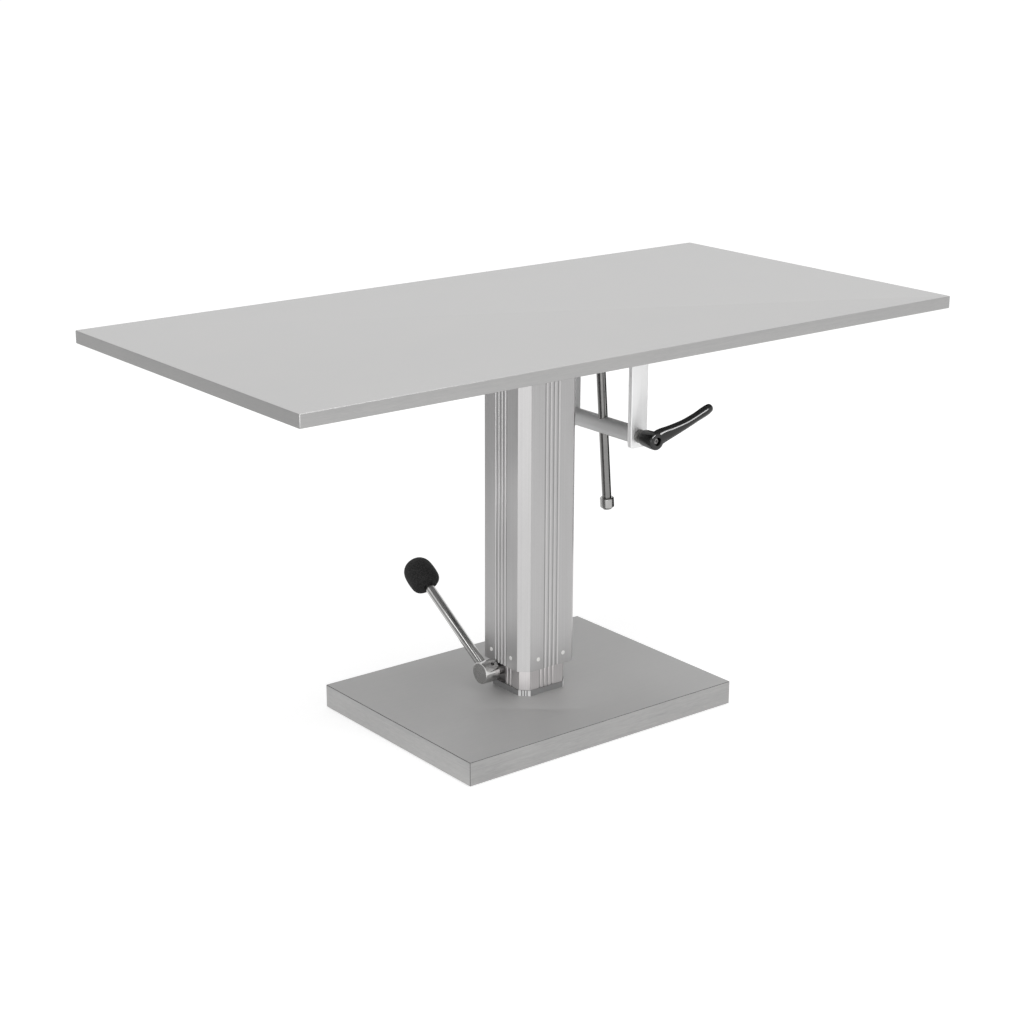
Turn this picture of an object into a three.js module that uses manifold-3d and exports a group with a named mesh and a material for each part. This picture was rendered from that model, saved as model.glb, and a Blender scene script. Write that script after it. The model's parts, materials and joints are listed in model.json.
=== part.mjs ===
// Veterinary examination table: a stainless top that tilts on a foot-pumped hydraulic column.
// Millimetres, +Z up, +X along the table top, origin on the floor under the middle of the column.
// The column is drawn fully lowered, the top level and the tilt rod clamped.

import * as THREE from 'three';
import { mergeVertices } from 'three/addons/utils/BufferGeometryUtils.js';
import Module from 'manifold-3d';

// Clearance between pieces that fit into each other, and how far a cut runs past the face it opens
const CLEARANCE = 0.3;
const OVERCUT = 1;

// Table top: a folded stainless sheet round a board
const TOP_LENGTH = 1300;
const TOP_WIDTH = 650;
const TOP_HEIGHT = 690;
const TOP_EDGE = 21;
const TOP_SHEET = 1.5;
const TOP_RETURN = 15;
const TOP_CORNER_RADIUS = 3;
const TOP_BEND_RADIUS = 2;

// Base: a steel plate on rubber pads under a folded stainless cover
const BASE_LENGTH = 560;
const BASE_WIDTH = 412;
const BASE_HEIGHT = 42;
const COVER_SHEET = 2;
const COVER_CORNER_RADIUS = 2.5;
const COVER_BEND_RADIUS = 2;
const PLATE_THICKNESS = 20;
const PLATE_GAP = 2;
const PAD_RADIUS = 20;
const PAD_PROUD = 2;
const PAD_INSET = 45;
const PAD_EDGE = 1;
const PAD_STEM_RADIUS = 7;
const PAD_STEM = 8;
const BEARER_WIDTH = 24;
const BEARER_INSET = 40;

// Column: two extruded aluminium sections, one sliding in the other on plastic glides
const SLEEVE_SIDE = 120;
const SLEEVE_CHAMFER = 15.5;
const SLEEVE_WALL = 5;
const SLEEVE_BOTTOM = 91;
const MAST_CHAMFER = 13;
const MAST_WALL = 5;
const MAST_HEADROOM = 18;
const GROOVES = 4;
const GROOVE_PITCH = 8.7;
const GROOVE_WIDTH = 5.4;
const GROOVE_DEPTH = 1.7;
const GROOVE_STEPS = 5;
const SLEEVE_PORT_RADIUS = 4.8;
const SLEEVE_PORT_HOLE = 2.6;
const MAST_PORT_RADIUS = 5.5;
const MAST_PORT_HOLE = 3.4;
const PORT_INSET = 3;
const GLIDE_THICKNESS = 6.4;
const GLIDE_WIDTH = 68;
const GLIDE_HEIGHT = 40;
const GLIDE_RISE = 4;
const STUD_RADIUS = 3.4;
const STUD_SPREAD = 26.7;
const STUD_RISE = 19;
const STUD_PROUD = 0.4;
const UPPER_GLIDE_HEIGHT = 40;
const UPPER_GLIDE_LIP = 4;
const FOOT_FRAME_HEIGHT = 10;
const FOOT_FRAME_WALL = 1.6;
const FOOT_FLUTES = 4;
const FOOT_FLUTE_PITCH = 4.6;
const FOOT_FLUTE_WIDTH = 2.6;
const FOOT_FLUTE_DEPTH = 1;

// Hydraulic lift inside the column
const BARREL_RADIUS = 24;
const BARREL_BORE = 19;
const PISTON_ROD_RADIUS = 11;
const PISTON_LENGTH = 20;
const PISTON_END_GAP = 6;
const GLAND_LENGTH = 12;
const GLAND_RADIUS = 27;
const GLAND_RECESS = 4;
const BLOCK_TOP = 160;
const BLOCK_FRONT = -18;
const BLOCK_GAP = 1;
const PUMP_CHAMBER_FLOOR = 112;

// Foot lever and the pump that it works
const AXLE_HEIGHT = 76;
const AXLE_RADIUS = 8;
const BEARING_HALF_WIDTH = 12.3;
const BEARING_PLATE = 6;
const BEARING_OVERLAP = 10;
const BUSH_RADIUS = 11;
const BUSH_FLANGE = 3;
const BUSH_NOSE = 12;
const BUSH_EDGE = 1;
const INNER_BUSH_RADIUS = 12;
const INNER_BUSH_LENGTH = 22;
const SLOT_HALF_HEIGHT = 26;
const CRANK_REACH = 20;
const CRANK_BOSS_RADIUS = 11.5;
const CRANK_ARM_HALF = 3.5;
const CRANK_NOSE_RADIUS = 5;
const CRANK_THICKNESS = 12;
const CRANK_GAP = 3;
const PLUNGER_RADIUS = 5;
const PLUNGER_FOOT_RADIUS = 8;
const PLUNGER_FOOT = 4;
const PLUNGER_LENGTH = 58;
const PLUNGER_BORE_END = 4;
const SPRING_RADIUS = 6.9;
const SPRING_WIRE = 0.9;
const SPRING_TURNS = 6;
const HUB_RADIUS = 19;
const HUB_LENGTH = 30;
const HUB_GAP = 2;
const HUB_EDGE = 1.2;
const HUB_END_WALL = 5;
const SET_SCREW_RADIUS = 3;
const SET_SCREW_LENGTH = 7;
const SET_SCREW_INSET = 10.3;
const SET_SCREW_TURN = 33;
const LEVER_ANGLE = 32.7;
const LEVER_RADIUS = 8.5;
const LEVER_LENGTH = 215;
const KNOB_START = 195.5;
const KNOB_LENGTH = 64.5;
const KNOB_RADIUS = 25;
const KNOB_MOUTH_RADIUS = 19;

// Head frame on top of the column
const HEAD_PLATE = 10;
const HEAD_PLATE_LENGTH = 220;
const HEAD_CORNER_RADIUS = 8;
const RAIL_HEIGHT = 35;
const RAIL_THICKNESS = 10;
const RAIL_SPREAD = 72;
const RAIL_END = 185;
const BUFFER_HEIGHT = 7.2;
const BUFFER_LENGTH = 50;
const HINGE_X = -155;
const HINGE_RADIUS = 8;
const HINGE_HEAD_RADIUS = 11;
const HINGE_HEAD = 4;
const LUG_THICKNESS = 8;
const LUG_RADIUS = 16;
const LUG_FLANGE = 6;
const LUG_FLANGE_LENGTH = 80;
const LUG_FLANGE_WIDTH = 42;

// Tilt clamp: a rod from the top that slides through a swivelling bar between two legs
const BAR_X = 160;
const BAR_DROP = 195.5;
const BAR_RADIUS = 15;
const BAR_EDGE = 1;
const JOURNAL_RADIUS = 9;
const LEG_WIDTH = 35;
const LEG_THICKNESS = 10;
const LEG_BELOW_BAR = 20;
const LEG_CORNER_RADIUS = 5;
const ROD_LEAN = 4.437;
const ROD_RADIUS = 8;
const ROD_BELOW_BAR = 152;
const PIN_BELOW_TOP = 20.5;
const PIN_RADIUS = 5;
const PIN_PLAY = 4.1;
const PIN_CLEARANCE = 0.7;
const EYE_WALL = 6;
const EYE_FLAT = 1;
const EAR_THICKNESS = 6;
const EAR_RADIUS = 10;
const EAR_GAP = 1;
const CLEVIS_FLANGE = 6;
const CLEVIS_FLANGE_LENGTH = 64;
const CLEVIS_FLANGE_WIDTH = 80;
const COLLAR_RADIUS = 12.2;
const COLLAR_LENGTH = 18;
const COLLAR_EDGE = 1.5;
const COLLAR_ABOVE_END = 3;

// Clamp handle: a steel insert in the end of the bar, and an arm that lifts off it to turn back
const STUD_SCREW_RADIUS = 5;
const INSERT_COLLAR_RADIUS = 11.5;
const INSERT_COLLAR = 13;
const INSERT_CORE_RADIUS = 8;
const INSERT_CORE = 12;
const HANDLE_WEB = 3;
const HANDLE_RADIUS = 15;
const HANDLE_FOOT_RADIUS = 13.8;
const HANDLE_LENGTH = 33;
const HANDLE_EDGE = 1;
const HANDLE_RECESS_RADIUS = 7.2;
const HANDLE_SCREW_RADIUS = 2.6;
const HANDLE_SCREW_HEAD_RADIUS = 4.8;
const HANDLE_SCREW_HEAD = 4;
const HANDLE_SCREW_SUNK = 4;
const ARM_ANGLE = 23.5;
const ARM_REACH = 117;
const ARM_SIDES = 14;

const wasm = await Module();
wasm.setup();

// Finishes of the real surfaces
const STAINLESS = { color: 0xc4c4c3, roughness: 0.38, metalness: 0.9 };
const POLISHED = { color: 0xb9b9b6, roughness: 0.18, metalness: 1 };
const ALUMINIUM = { color: 0xbdbdbc, roughness: 0.45, metalness: 0.85 };
const BARE_STEEL = { color: 0x8d8e8f, roughness: 0.5, metalness: 0.9 };
const DARK_STEEL = { color: 0x5f6062, roughness: 0.4, metalness: 0.9 };
const PAINTED_STEEL = { color: 0x55595c, roughness: 0.55, metalness: 0.2 };
const BRONZE = { color: 0xa5834f, roughness: 0.4, metalness: 1 };
const WHITE_PLASTIC = { color: 0xe4e3df, roughness: 0.5, metalness: 0 };
const GREY_PLASTIC = { color: 0x8a8b8b, roughness: 0.55, metalness: 0 };
const BLACK_PLASTIC = { color: 0x1d1d1e, roughness: 0.35, metalness: 0 };
const BLACK_RUBBER = { color: 0x222224, roughness: 0.75, metalness: 0 };
const BOARD = { color: 0x9a7f5c, roughness: 0.8, metalness: 0 };

// A closed geometry as a solid that can be joined and cut
function solid(geometry) {
  const bare = geometry.clone();
  bare.deleteAttribute('normal');
  bare.deleteAttribute('uv');
  const merged = mergeVertices(bare);
  const triVerts = [];
  for (let i = 0; i < merged.index.count; i += 3) {
    const [a, b, c] = [0, 1, 2].map((k) => merged.index.getX(i + k));
    if (a !== b && b !== c && c !== a) triVerts.push(a, b, c);
  }
  return new wasm.Manifold(new wasm.Mesh({
    numProp: 3,
    vertProperties: Float32Array.from(merged.attributes.position.array),
    triVerts: Uint32Array.from(triVerts),
  }));
}

// A solid as a named mesh with its own material
function piece(name, body, finish) {
  const { vertProperties, triVerts } = body.getMesh();
  const geometry = new THREE.BufferGeometry();
  geometry.setAttribute('position', new THREE.BufferAttribute(vertProperties, 3));
  geometry.setIndex(new THREE.BufferAttribute(triVerts, 1));
  geometry.computeVertexNormals();
  const mesh = new THREE.Mesh(geometry, new THREE.MeshStandardMaterial(finish));
  mesh.name = name;
  return mesh;
}

// Shapes are drawn along their own z, which is then turned to lie along the named axis
const EX = new THREE.Vector3(1, 0, 0);
const EY = new THREE.Vector3(0, 1, 0);
const EZ = new THREE.Vector3(0, 0, 1);
const TURN = {
  x: new THREE.Matrix4().makeBasis(EY, EZ, EX),
  y: new THREE.Matrix4().makeBasis(EZ, EX, EY),
  z: new THREE.Matrix4(),
};

function block([x0, x1], [y0, y1], [z0, z1]) {
  const geometry = new THREE.BoxGeometry(x1 - x0, y1 - y0, z1 - z0);
  geometry.translate((x0 + x1) / 2, (y0 + y1) / 2, (z0 + z1) / 2);
  return solid(geometry);
}

function round(axis, radius, from, to, at = [0, 0, 0], sides = 20) {
  const geometry = new THREE.CylinderGeometry(radius, radius, to - from, sides);
  geometry.rotateX(Math.PI / 2);
  geometry.translate(0, 0, (from + to) / 2);
  return solid(geometry.applyMatrix4(TURN[axis]).translate(...at));
}

function extruded(axis, shape, from, to, at = [0, 0, 0], curveSegments = 6) {
  const geometry = new THREE.ExtrudeGeometry(shape, { depth: to - from, bevelEnabled: false, curveSegments });
  geometry.translate(0, 0, from);
  return solid(geometry.applyMatrix4(TURN[axis]).translate(...at));
}

// A closed profile of [radius, height] points turned about its axis
function turned(axis, profile, at = [0, 0, 0], sides = 20) {
  const points = profile.map(([radius, height]) => new THREE.Vector2(radius, height));
  const geometry = new THREE.LatheGeometry(points, sides);
  geometry.rotateX(Math.PI / 2);
  return solid(geometry.applyMatrix4(TURN[axis]).translate(...at));
}

function roundedRectangle(length, width, radius) {
  const [x, y] = [length / 2 - radius, width / 2 - radius];
  const shape = new THREE.Shape();
  shape.absarc(x, y, radius, 0, Math.PI / 2);
  shape.absarc(-x, y, radius, Math.PI / 2, Math.PI);
  shape.absarc(-x, -y, radius, Math.PI, 1.5 * Math.PI);
  shape.absarc(x, -y, radius, 1.5 * Math.PI, 2 * Math.PI);
  return shape;
}

// A box of folded sheet: square corners a little rounded, and a bend along its upper edges
function foldedBox(length, width, bottom, top, cornerRadius, bendRadius) {
  const geometry = new THREE.ExtrudeGeometry(roundedRectangle(length, width, cornerRadius), {
    depth: top - bottom,
    bevelThickness: bendRadius,
    bevelSize: bendRadius,
    bevelOffset: -bendRadius,
    bevelSegments: 3,
    curveSegments: 3,
  });
  geometry.translate(0, 0, bottom - bendRadius);
  const trim = block([-length, length], [-width, width], [bottom, top]);
  return solid(geometry).intersect(trim);
}

// Places round the four faces of the column
const FACES = [0, 1, 2, 3].map((k) => k * Math.PI / 2);

function onFace(angle, out, along) {
  return new THREE.Vector2(
    out * Math.cos(angle) - along * Math.sin(angle),
    out * Math.sin(angle) + along * Math.cos(angle),
  );
}

// A square with chamfered corners. The flat of each face can be cut by steps of [along, depth].
function chamferedSquare(side, chamfer, steps = []) {
  const flat = side / 2 - chamfer;
  const profile = [[-flat, 0], ...steps, [flat, 0]];
  return new THREE.Shape(FACES.flatMap(
    (angle) => profile.map(([along, depth]) => onFace(angle, side / 2 - depth, along)),
  ));
}

// Distance from the axis to a chamfer, and the chamfer that gives such a distance
function chamferDistance(side, chamfer) {
  return (side - chamfer) / Math.SQRT2;
}

function chamferAt(side, distance) {
  return side - distance * Math.SQRT2;
}

// Four scooped grooves down the middle of each column face
function grooveSteps() {
  const radius = (GROOVE_WIDTH ** 2 / 4 + GROOVE_DEPTH ** 2) / (2 * GROOVE_DEPTH);
  const opening = Math.asin(GROOVE_WIDTH / 2 / radius);
  const steps = [];
  for (let groove = 0; groove < GROOVES; groove += 1) {
    const middle = (groove - (GROOVES - 1) / 2) * GROOVE_PITCH;
    for (let step = 0; step <= GROOVE_STEPS; step += 1) {
      const angle = opening * (2 * step / GROOVE_STEPS - 1);
      const depth = radius * Math.cos(angle) - (radius - GROOVE_DEPTH);
      steps.push([middle + radius * Math.sin(angle), Math.max(depth, 0)]);
    }
  }
  return steps;
}

// An extruded column section with a screw port in each corner, and where those ports are
function columnSection(side, chamfer, wall, portRadius, portHole, bottom, top) {
  const innerSide = side - 2 * wall;
  const innerDistance = chamferDistance(side, chamfer) - wall;
  const hollow = chamferedSquare(innerSide, chamferAt(innerSide, innerDistance));
  const port = (innerDistance - PORT_INSET) / Math.SQRT2;
  let section = extruded('z', chamferedSquare(side, chamfer, grooveSteps()), bottom, top);
  section = section.subtract(extruded('z', hollow, bottom - OVERCUT, top + OVERCUT));
  for (const [x, y] of [[port, port], [-port, port], [-port, -port], [port, -port]]) {
    section = section.add(round('z', portRadius, bottom, top, [x, y, 0], 16));
    section = section.subtract(round('z', portHole, bottom - OVERCUT, top + OVERCUT, [x, y, 0], 12));
  }
  return { section, innerSide, innerDistance, port };
}

const table = new THREE.Group();

// Heights and sides that follow from the driving sizes
const topUnderside = TOP_HEIGHT - TOP_EDGE;
const boardUnderside = topUnderside + TOP_SHEET;
const railTop = boardUnderside - BUFFER_HEIGHT - CLEARANCE;
const railBottom = railTop - RAIL_HEIGHT;
const sleeveTop = railBottom - HEAD_PLATE;
const mastTop = sleeveTop - MAST_HEADROOM;
const plateTop = PAD_PROUD + PLATE_THICKNESS;
const hingeZ = railTop - RAIL_HEIGHT / 2;
const barZ = boardUnderside - BAR_DROP;
const mastSide = SLEEVE_SIDE - 2 * (SLEEVE_WALL + GLIDE_THICKNESS + 2 * CLEARANCE);

// Base plate on four rubber pads
const padX = BASE_LENGTH / 2 - PAD_INSET;
const padY = BASE_WIDTH / 2 - PAD_INSET;
const padPlaces = [[padX, padY], [-padX, padY], [-padX, -padY], [padX, -padY]];
const plateLength = BASE_LENGTH - 2 * (COVER_SHEET + PLATE_GAP);
const plateWidth = BASE_WIDTH - 2 * (COVER_SHEET + PLATE_GAP);
let basePlate = block(
  [-plateLength / 2, plateLength / 2],
  [-plateWidth / 2, plateWidth / 2],
  [PAD_PROUD, plateTop],
);
padPlaces.forEach(([x, y], index) => {
  const socket = round('z', PAD_STEM_RADIUS + CLEARANCE, 0, PAD_STEM + CLEARANCE, [x, y, 0], 20);
  basePlate = basePlate.subtract(socket);
  const pad = turned('z', [
    [0, 0],
    [PAD_RADIUS - PAD_EDGE, 0],
    [PAD_RADIUS, PAD_EDGE],
    [PAD_RADIUS, PAD_PROUD],
    [PAD_STEM_RADIUS, PAD_PROUD],
    [PAD_STEM_RADIUS, PAD_STEM],
    [0, PAD_STEM],
  ], [x, y, 0], 20);
  table.add(piece(`foot_pad_${index + 1}`, pad, BLACK_RUBBER));
});
table.add(piece('base_plate', basePlate, BARE_STEEL));

// Two bearers on the plate carry the cover
for (const [name, side] of [['cover_bearer_left', -1], ['cover_bearer_right', 1]]) {
  const middle = side * (plateLength / 2 - BEARER_INSET);
  const bearer = block(
    [middle - BEARER_WIDTH / 2, middle + BEARER_WIDTH / 2],
    [-plateWidth / 2 + BEARER_INSET, plateWidth / 2 - BEARER_INSET],
    [plateTop, BASE_HEIGHT - COVER_SHEET],
  );
  table.add(piece(name, bearer, BARE_STEEL));
}

// Folded cover, open below, with a cut-out for the column
const coverOuter = foldedBox(
  BASE_LENGTH, BASE_WIDTH, PAD_PROUD, BASE_HEIGHT, COVER_CORNER_RADIUS, COVER_BEND_RADIUS,
);
const coverHollow = block(
  [-BASE_LENGTH / 2 + COVER_SHEET, BASE_LENGTH / 2 - COVER_SHEET],
  [-BASE_WIDTH / 2 + COVER_SHEET, BASE_WIDTH / 2 - COVER_SHEET],
  [0, BASE_HEIGHT - COVER_SHEET],
);
const columnHole = chamferedSquare(mastSide + 2 * CLEARANCE, MAST_CHAMFER);
const baseCover = coverOuter.subtract(coverHollow)
  .subtract(extruded('z', columnHole, plateTop, BASE_HEIGHT + OVERCUT));
table.add(piece('base_cover', baseCover, STAINLESS));

// Inner column, bolted to the plate through its screw ports, with a slot for the pump axle
const mast = columnSection(
  mastSide, MAST_CHAMFER, MAST_WALL, MAST_PORT_RADIUS, MAST_PORT_HOLE, plateTop, mastTop,
);
const mastFace = -mastSide / 2;
const mastInside = mastFace + MAST_WALL;
const axleY = mast.port - MAST_PORT_RADIUS - CLEARANCE - BEARING_HALF_WIDTH;
const slotHalfWidth = BEARING_HALF_WIDTH + CLEARANCE;
const slot = block(
  [mastFace - OVERCUT, mastInside + GROOVE_DEPTH],
  [axleY - slotHalfWidth, axleY + slotHalfWidth],
  [AXLE_HEIGHT - SLOT_HALF_HEIGHT, AXLE_HEIGHT + SLOT_HALF_HEIGHT],
);
table.add(piece('inner_column', mast.section.subtract(slot), ALUMINIUM));

// Moulded frame round the foot of the inner column, fluted at its four chamfers
const frameInner = mastSide + 2 * CLEARANCE;
const frameOuter = frameInner + 2 * FOOT_FRAME_WALL;
const frameReach = chamferDistance(mastSide, MAST_CHAMFER) + CLEARANCE;
const footTop = BASE_HEIGHT + FOOT_FRAME_HEIGHT;
const frameOutline = chamferedSquare(frameOuter, chamferAt(frameOuter, frameReach + FOOT_FRAME_WALL));
let footFrame = extruded('z', frameOutline, BASE_HEIGHT, footTop);
for (const angle of FACES) {
  for (let flute = 0; flute < FOOT_FLUTES - 1; flute += 1) {
    const along = (flute - (FOOT_FLUTES - 2) / 2) * FOOT_FLUTE_PITCH;
    const place = onFace(angle + Math.PI / 4, frameReach + FOOT_FRAME_WALL, along);
    const gap = FOOT_FLUTE_PITCH - FOOT_FLUTE_WIDTH;
    const cutter = new THREE.BoxGeometry(2 * FOOT_FLUTE_DEPTH, gap, 4 * footTop);
    cutter.rotateZ(angle + Math.PI / 4).translate(place.x, place.y, 0);
    footFrame = footFrame.subtract(solid(cutter));
  }
}
footFrame = footFrame.subtract(extruded(
  'z', chamferedSquare(frameInner, chamferAt(frameInner, frameReach)), 0, footTop + OVERCUT,
));
table.add(piece('column_foot_frame', footFrame, GREY_PLASTIC));

// Outer column with holes for the glide studs
const sleeve = columnSection(
  SLEEVE_SIDE, SLEEVE_CHAMFER, SLEEVE_WALL, SLEEVE_PORT_RADIUS, SLEEVE_PORT_HOLE, SLEEVE_BOTTOM, sleeveTop,
);
const studZ = SLEEVE_BOTTOM + STUD_RISE;
let outerColumn = sleeve.section;
for (const axis of ['x', 'y']) {
  for (const along of [-STUD_SPREAD, STUD_SPREAD]) {
    const at = axis === 'x' ? [0, along, studZ] : [along, 0, studZ];
    outerColumn = outerColumn.subtract(
      round(axis, STUD_RADIUS + CLEARANCE, -SLEEVE_SIDE, SLEEVE_SIDE, at, 16),
    );
  }
}
table.add(piece('outer_column', outerColumn, ALUMINIUM));

// Lower glides: plastic pads that clip into the foot of the outer column by two studs each
const padInner = mastSide / 2 + CLEARANCE;
const padOuter = sleeve.innerSide / 2 - CLEARANCE;
const glideBottom = SLEEVE_BOTTOM + GLIDE_RISE;
FACES.forEach((angle, index) => {
  let glide = block(
    [padInner, padOuter],
    [-GLIDE_WIDTH / 2, GLIDE_WIDTH / 2],
    [glideBottom, glideBottom + GLIDE_HEIGHT],
  );
  for (const along of [-STUD_SPREAD, STUD_SPREAD]) {
    glide = glide.add(
      round('x', STUD_RADIUS, padInner + OVERCUT, SLEEVE_SIDE / 2 + STUD_PROUD, [0, along, studZ], 16),
    );
  }
  const mesh = piece(`lower_glide_${index + 1}`, glide, WHITE_PLASTIC);
  mesh.rotation.z = angle;
  table.add(mesh);
});

// Upper glide: one moulded ring over the rim of the inner column, cut back for the screw ports
const portClear = sleeve.innerDistance - PORT_INSET - SLEEVE_PORT_RADIUS - CLEARANCE;
const glideSide = sleeve.innerSide - 2 * CLEARANCE;
const glideHollow = mastSide + 2 * CLEARANCE;
const glideReach = chamferDistance(mastSide, MAST_CHAMFER) + CLEARANCE;
const rim = chamferedSquare(mast.innerSide, chamferAt(mast.innerSide, mast.innerDistance));
const upperGlide = extruded(
  'z', chamferedSquare(glideSide, chamferAt(glideSide, portClear)),
  mastTop - UPPER_GLIDE_HEIGHT, mastTop + UPPER_GLIDE_LIP,
).subtract(extruded(
  'z', chamferedSquare(glideHollow, chamferAt(glideHollow, glideReach)), 0, mastTop,
)).subtract(extruded('z', rim, 0, mastTop + UPPER_GLIDE_LIP + OVERCUT));
table.add(piece('upper_glide', upperGlide, WHITE_PLASTIC));

// Pump block in the foot of the inner column, cut away in front for the crank
const blockSide = mast.innerSide - 2 * BLOCK_GAP;
const blockReach = Math.SQRT2 * mast.port - MAST_PORT_RADIUS - CLEARANCE;
const plungerX = mastInside + BEARING_PLATE + CRANK_GAP + CRANK_THICKNESS / 2;
const plungerY = axleY - CRANK_REACH;
let pumpBlock = extruded(
  'z', chamferedSquare(blockSide, chamferAt(blockSide, blockReach)), plateTop, BLOCK_TOP,
);
pumpBlock = pumpBlock.subtract(block(
  [-blockSide, BLOCK_FRONT], [-blockSide, blockSide], [0, PUMP_CHAMBER_FLOOR],
));
pumpBlock = pumpBlock.subtract(round(
  'x', INNER_BUSH_RADIUS + CLEARANCE, BLOCK_FRONT - OVERCUT, BLOCK_FRONT + INNER_BUSH_LENGTH + OVERCUT,
  [0, axleY, AXLE_HEIGHT],
));
pumpBlock = pumpBlock.subtract(round(
  'z', PLUNGER_RADIUS + CLEARANCE, PUMP_CHAMBER_FLOOR - OVERCUT, BLOCK_TOP - PLUNGER_BORE_END,
  [plungerX, plungerY, 0], 20,
));
table.add(piece('pump_block', pumpBlock, PAINTED_STEEL));

// Lift cylinder on the block: barrel, gland, piston and piston rod
const barrelTop = mastTop - GLAND_LENGTH - GLAND_RECESS;
const barrel = round('z', BARREL_RADIUS, BLOCK_TOP, barrelTop)
  .subtract(round('z', BARREL_BORE, 0, barrelTop + OVERCUT));
table.add(piece('ram_barrel', barrel, BARE_STEEL));
const gland = round('z', GLAND_RADIUS, barrelTop, barrelTop + GLAND_LENGTH)
  .subtract(round('z', PISTON_ROD_RADIUS + CLEARANCE, 0, mastTop));
table.add(piece('ram_gland', gland, BARE_STEEL));
const pistonBottom = BLOCK_TOP + PISTON_END_GAP;
const piston = round('z', BARREL_BORE - CLEARANCE, pistonBottom, pistonBottom + PISTON_LENGTH)
  .subtract(round('z', PISTON_ROD_RADIUS + CLEARANCE, 0, mastTop));
table.add(piece('ram_piston', piston, BARE_STEEL));
table.add(piece('piston_rod', round('z', PISTON_ROD_RADIUS, pistonBottom, sleeveTop), POLISHED));

// Axle bearings: a plate with a flanged bush behind the slot, and a bush in the block
const axleAt = [0, axleY, AXLE_HEIGHT];
const plateFace = mastInside + CLEARANCE;
const plateBack = plateFace + BEARING_PLATE;
const bearingPlate = block(
  [plateFace, plateBack],
  [axleY - BEARING_HALF_WIDTH, axleY + BEARING_HALF_WIDTH],
  [-SLOT_HALF_HEIGHT - BEARING_OVERLAP, SLOT_HALF_HEIGHT + BEARING_OVERLAP].map((z) => AXLE_HEIGHT + z),
).subtract(round('x', BUSH_RADIUS + CLEARANCE, 2 * mastFace, 0, axleAt));
table.add(piece('axle_bearing_plate', bearingPlate, BARE_STEEL));
const bushNose = plateFace - BUSH_FLANGE - BUSH_NOSE;
const axleBush = turned('x', [
  [AXLE_RADIUS + CLEARANCE, bushNose],
  [BUSH_RADIUS - BUSH_EDGE, bushNose],
  [BUSH_RADIUS, bushNose + BUSH_EDGE],
  [BUSH_RADIUS, plateFace - BUSH_FLANGE],
  [BEARING_HALF_WIDTH, plateFace - BUSH_FLANGE],
  [BEARING_HALF_WIDTH, plateFace],
  [BUSH_RADIUS, plateFace],
  [BUSH_RADIUS, plateBack],
  [AXLE_RADIUS + CLEARANCE, plateBack],
  [AXLE_RADIUS + CLEARANCE, bushNose],
], axleAt);
table.add(piece('axle_bush', axleBush, BRONZE));
const innerBushEnd = BLOCK_FRONT + INNER_BUSH_LENGTH;
const innerBush = round('x', INNER_BUSH_RADIUS, BLOCK_FRONT, innerBushEnd, axleAt)
  .subtract(round('x', AXLE_RADIUS + CLEARANCE, 2 * mastFace, -2 * mastFace, axleAt));
table.add(piece('inner_bush', innerBush, BRONZE));

// Foot lever, turned about the axle: hub, rod and rubber knob lie along its own +Y
const lever = new THREE.Group();
lever.position.set(0, axleY, AXLE_HEIGHT);
lever.rotation.x = THREE.MathUtils.degToRad(LEVER_ANGLE);
table.add(lever);
const hubBack = -SLEEVE_SIDE / 2 - HUB_GAP;
const hubFront = hubBack - HUB_LENGTH;
const leverX = (hubFront + hubBack) / 2;
const axleEnd = hubFront + HUB_END_WALL;
lever.add(piece('pump_axle', round('x', AXLE_RADIUS, axleEnd + CLEARANCE, innerBushEnd), BARE_STEEL));
let leverHub = turned('x', [
  [0, hubFront],
  [HUB_RADIUS - HUB_EDGE, hubFront],
  [HUB_RADIUS, hubFront + HUB_EDGE],
  [HUB_RADIUS, hubBack - HUB_EDGE],
  [HUB_RADIUS - HUB_EDGE, hubBack],
  [0, hubBack],
], [0, 0, 0], 36);
leverHub = leverHub
  .subtract(round('x', AXLE_RADIUS + CLEARANCE, axleEnd, hubBack + OVERCUT))
  .subtract(round('y', LEVER_RADIUS + CLEARANCE, 0, HUB_RADIUS + OVERCUT, [leverX, 0, 0], 28));
const screwX = hubBack - SET_SCREW_INSET;
const screwTurn = THREE.MathUtils.degToRad(SET_SCREW_TURN - LEVER_ANGLE);
const screwHole = new THREE.CylinderGeometry(
  SET_SCREW_RADIUS + CLEARANCE, SET_SCREW_RADIUS + CLEARANCE, HUB_RADIUS, 20,
);
screwHole.rotateX(Math.PI / 2).translate(0, 0, HUB_RADIUS / 2 + OVERCUT);
screwHole.rotateX(screwTurn).translate(screwX, 0, 0);
lever.add(piece('lever_hub', leverHub.subtract(solid(screwHole)), POLISHED));
const setScrew = round(
  'z', SET_SCREW_RADIUS, AXLE_RADIUS + CLEARANCE, AXLE_RADIUS + CLEARANCE + SET_SCREW_LENGTH,
  [0, 0, 0], 20,
);
const setScrewMesh = piece('hub_set_screw', setScrew, DARK_STEEL);
setScrewMesh.position.x = screwX;
setScrewMesh.rotation.x = screwTurn;
lever.add(setScrewMesh);
const leverStart = AXLE_RADIUS + 2 * CLEARANCE;
const leverRod = round('y', LEVER_RADIUS, leverStart, LEVER_LENGTH, [leverX, 0, 0], 28);
lever.add(piece('lever_rod', leverRod, POLISHED));

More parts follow.
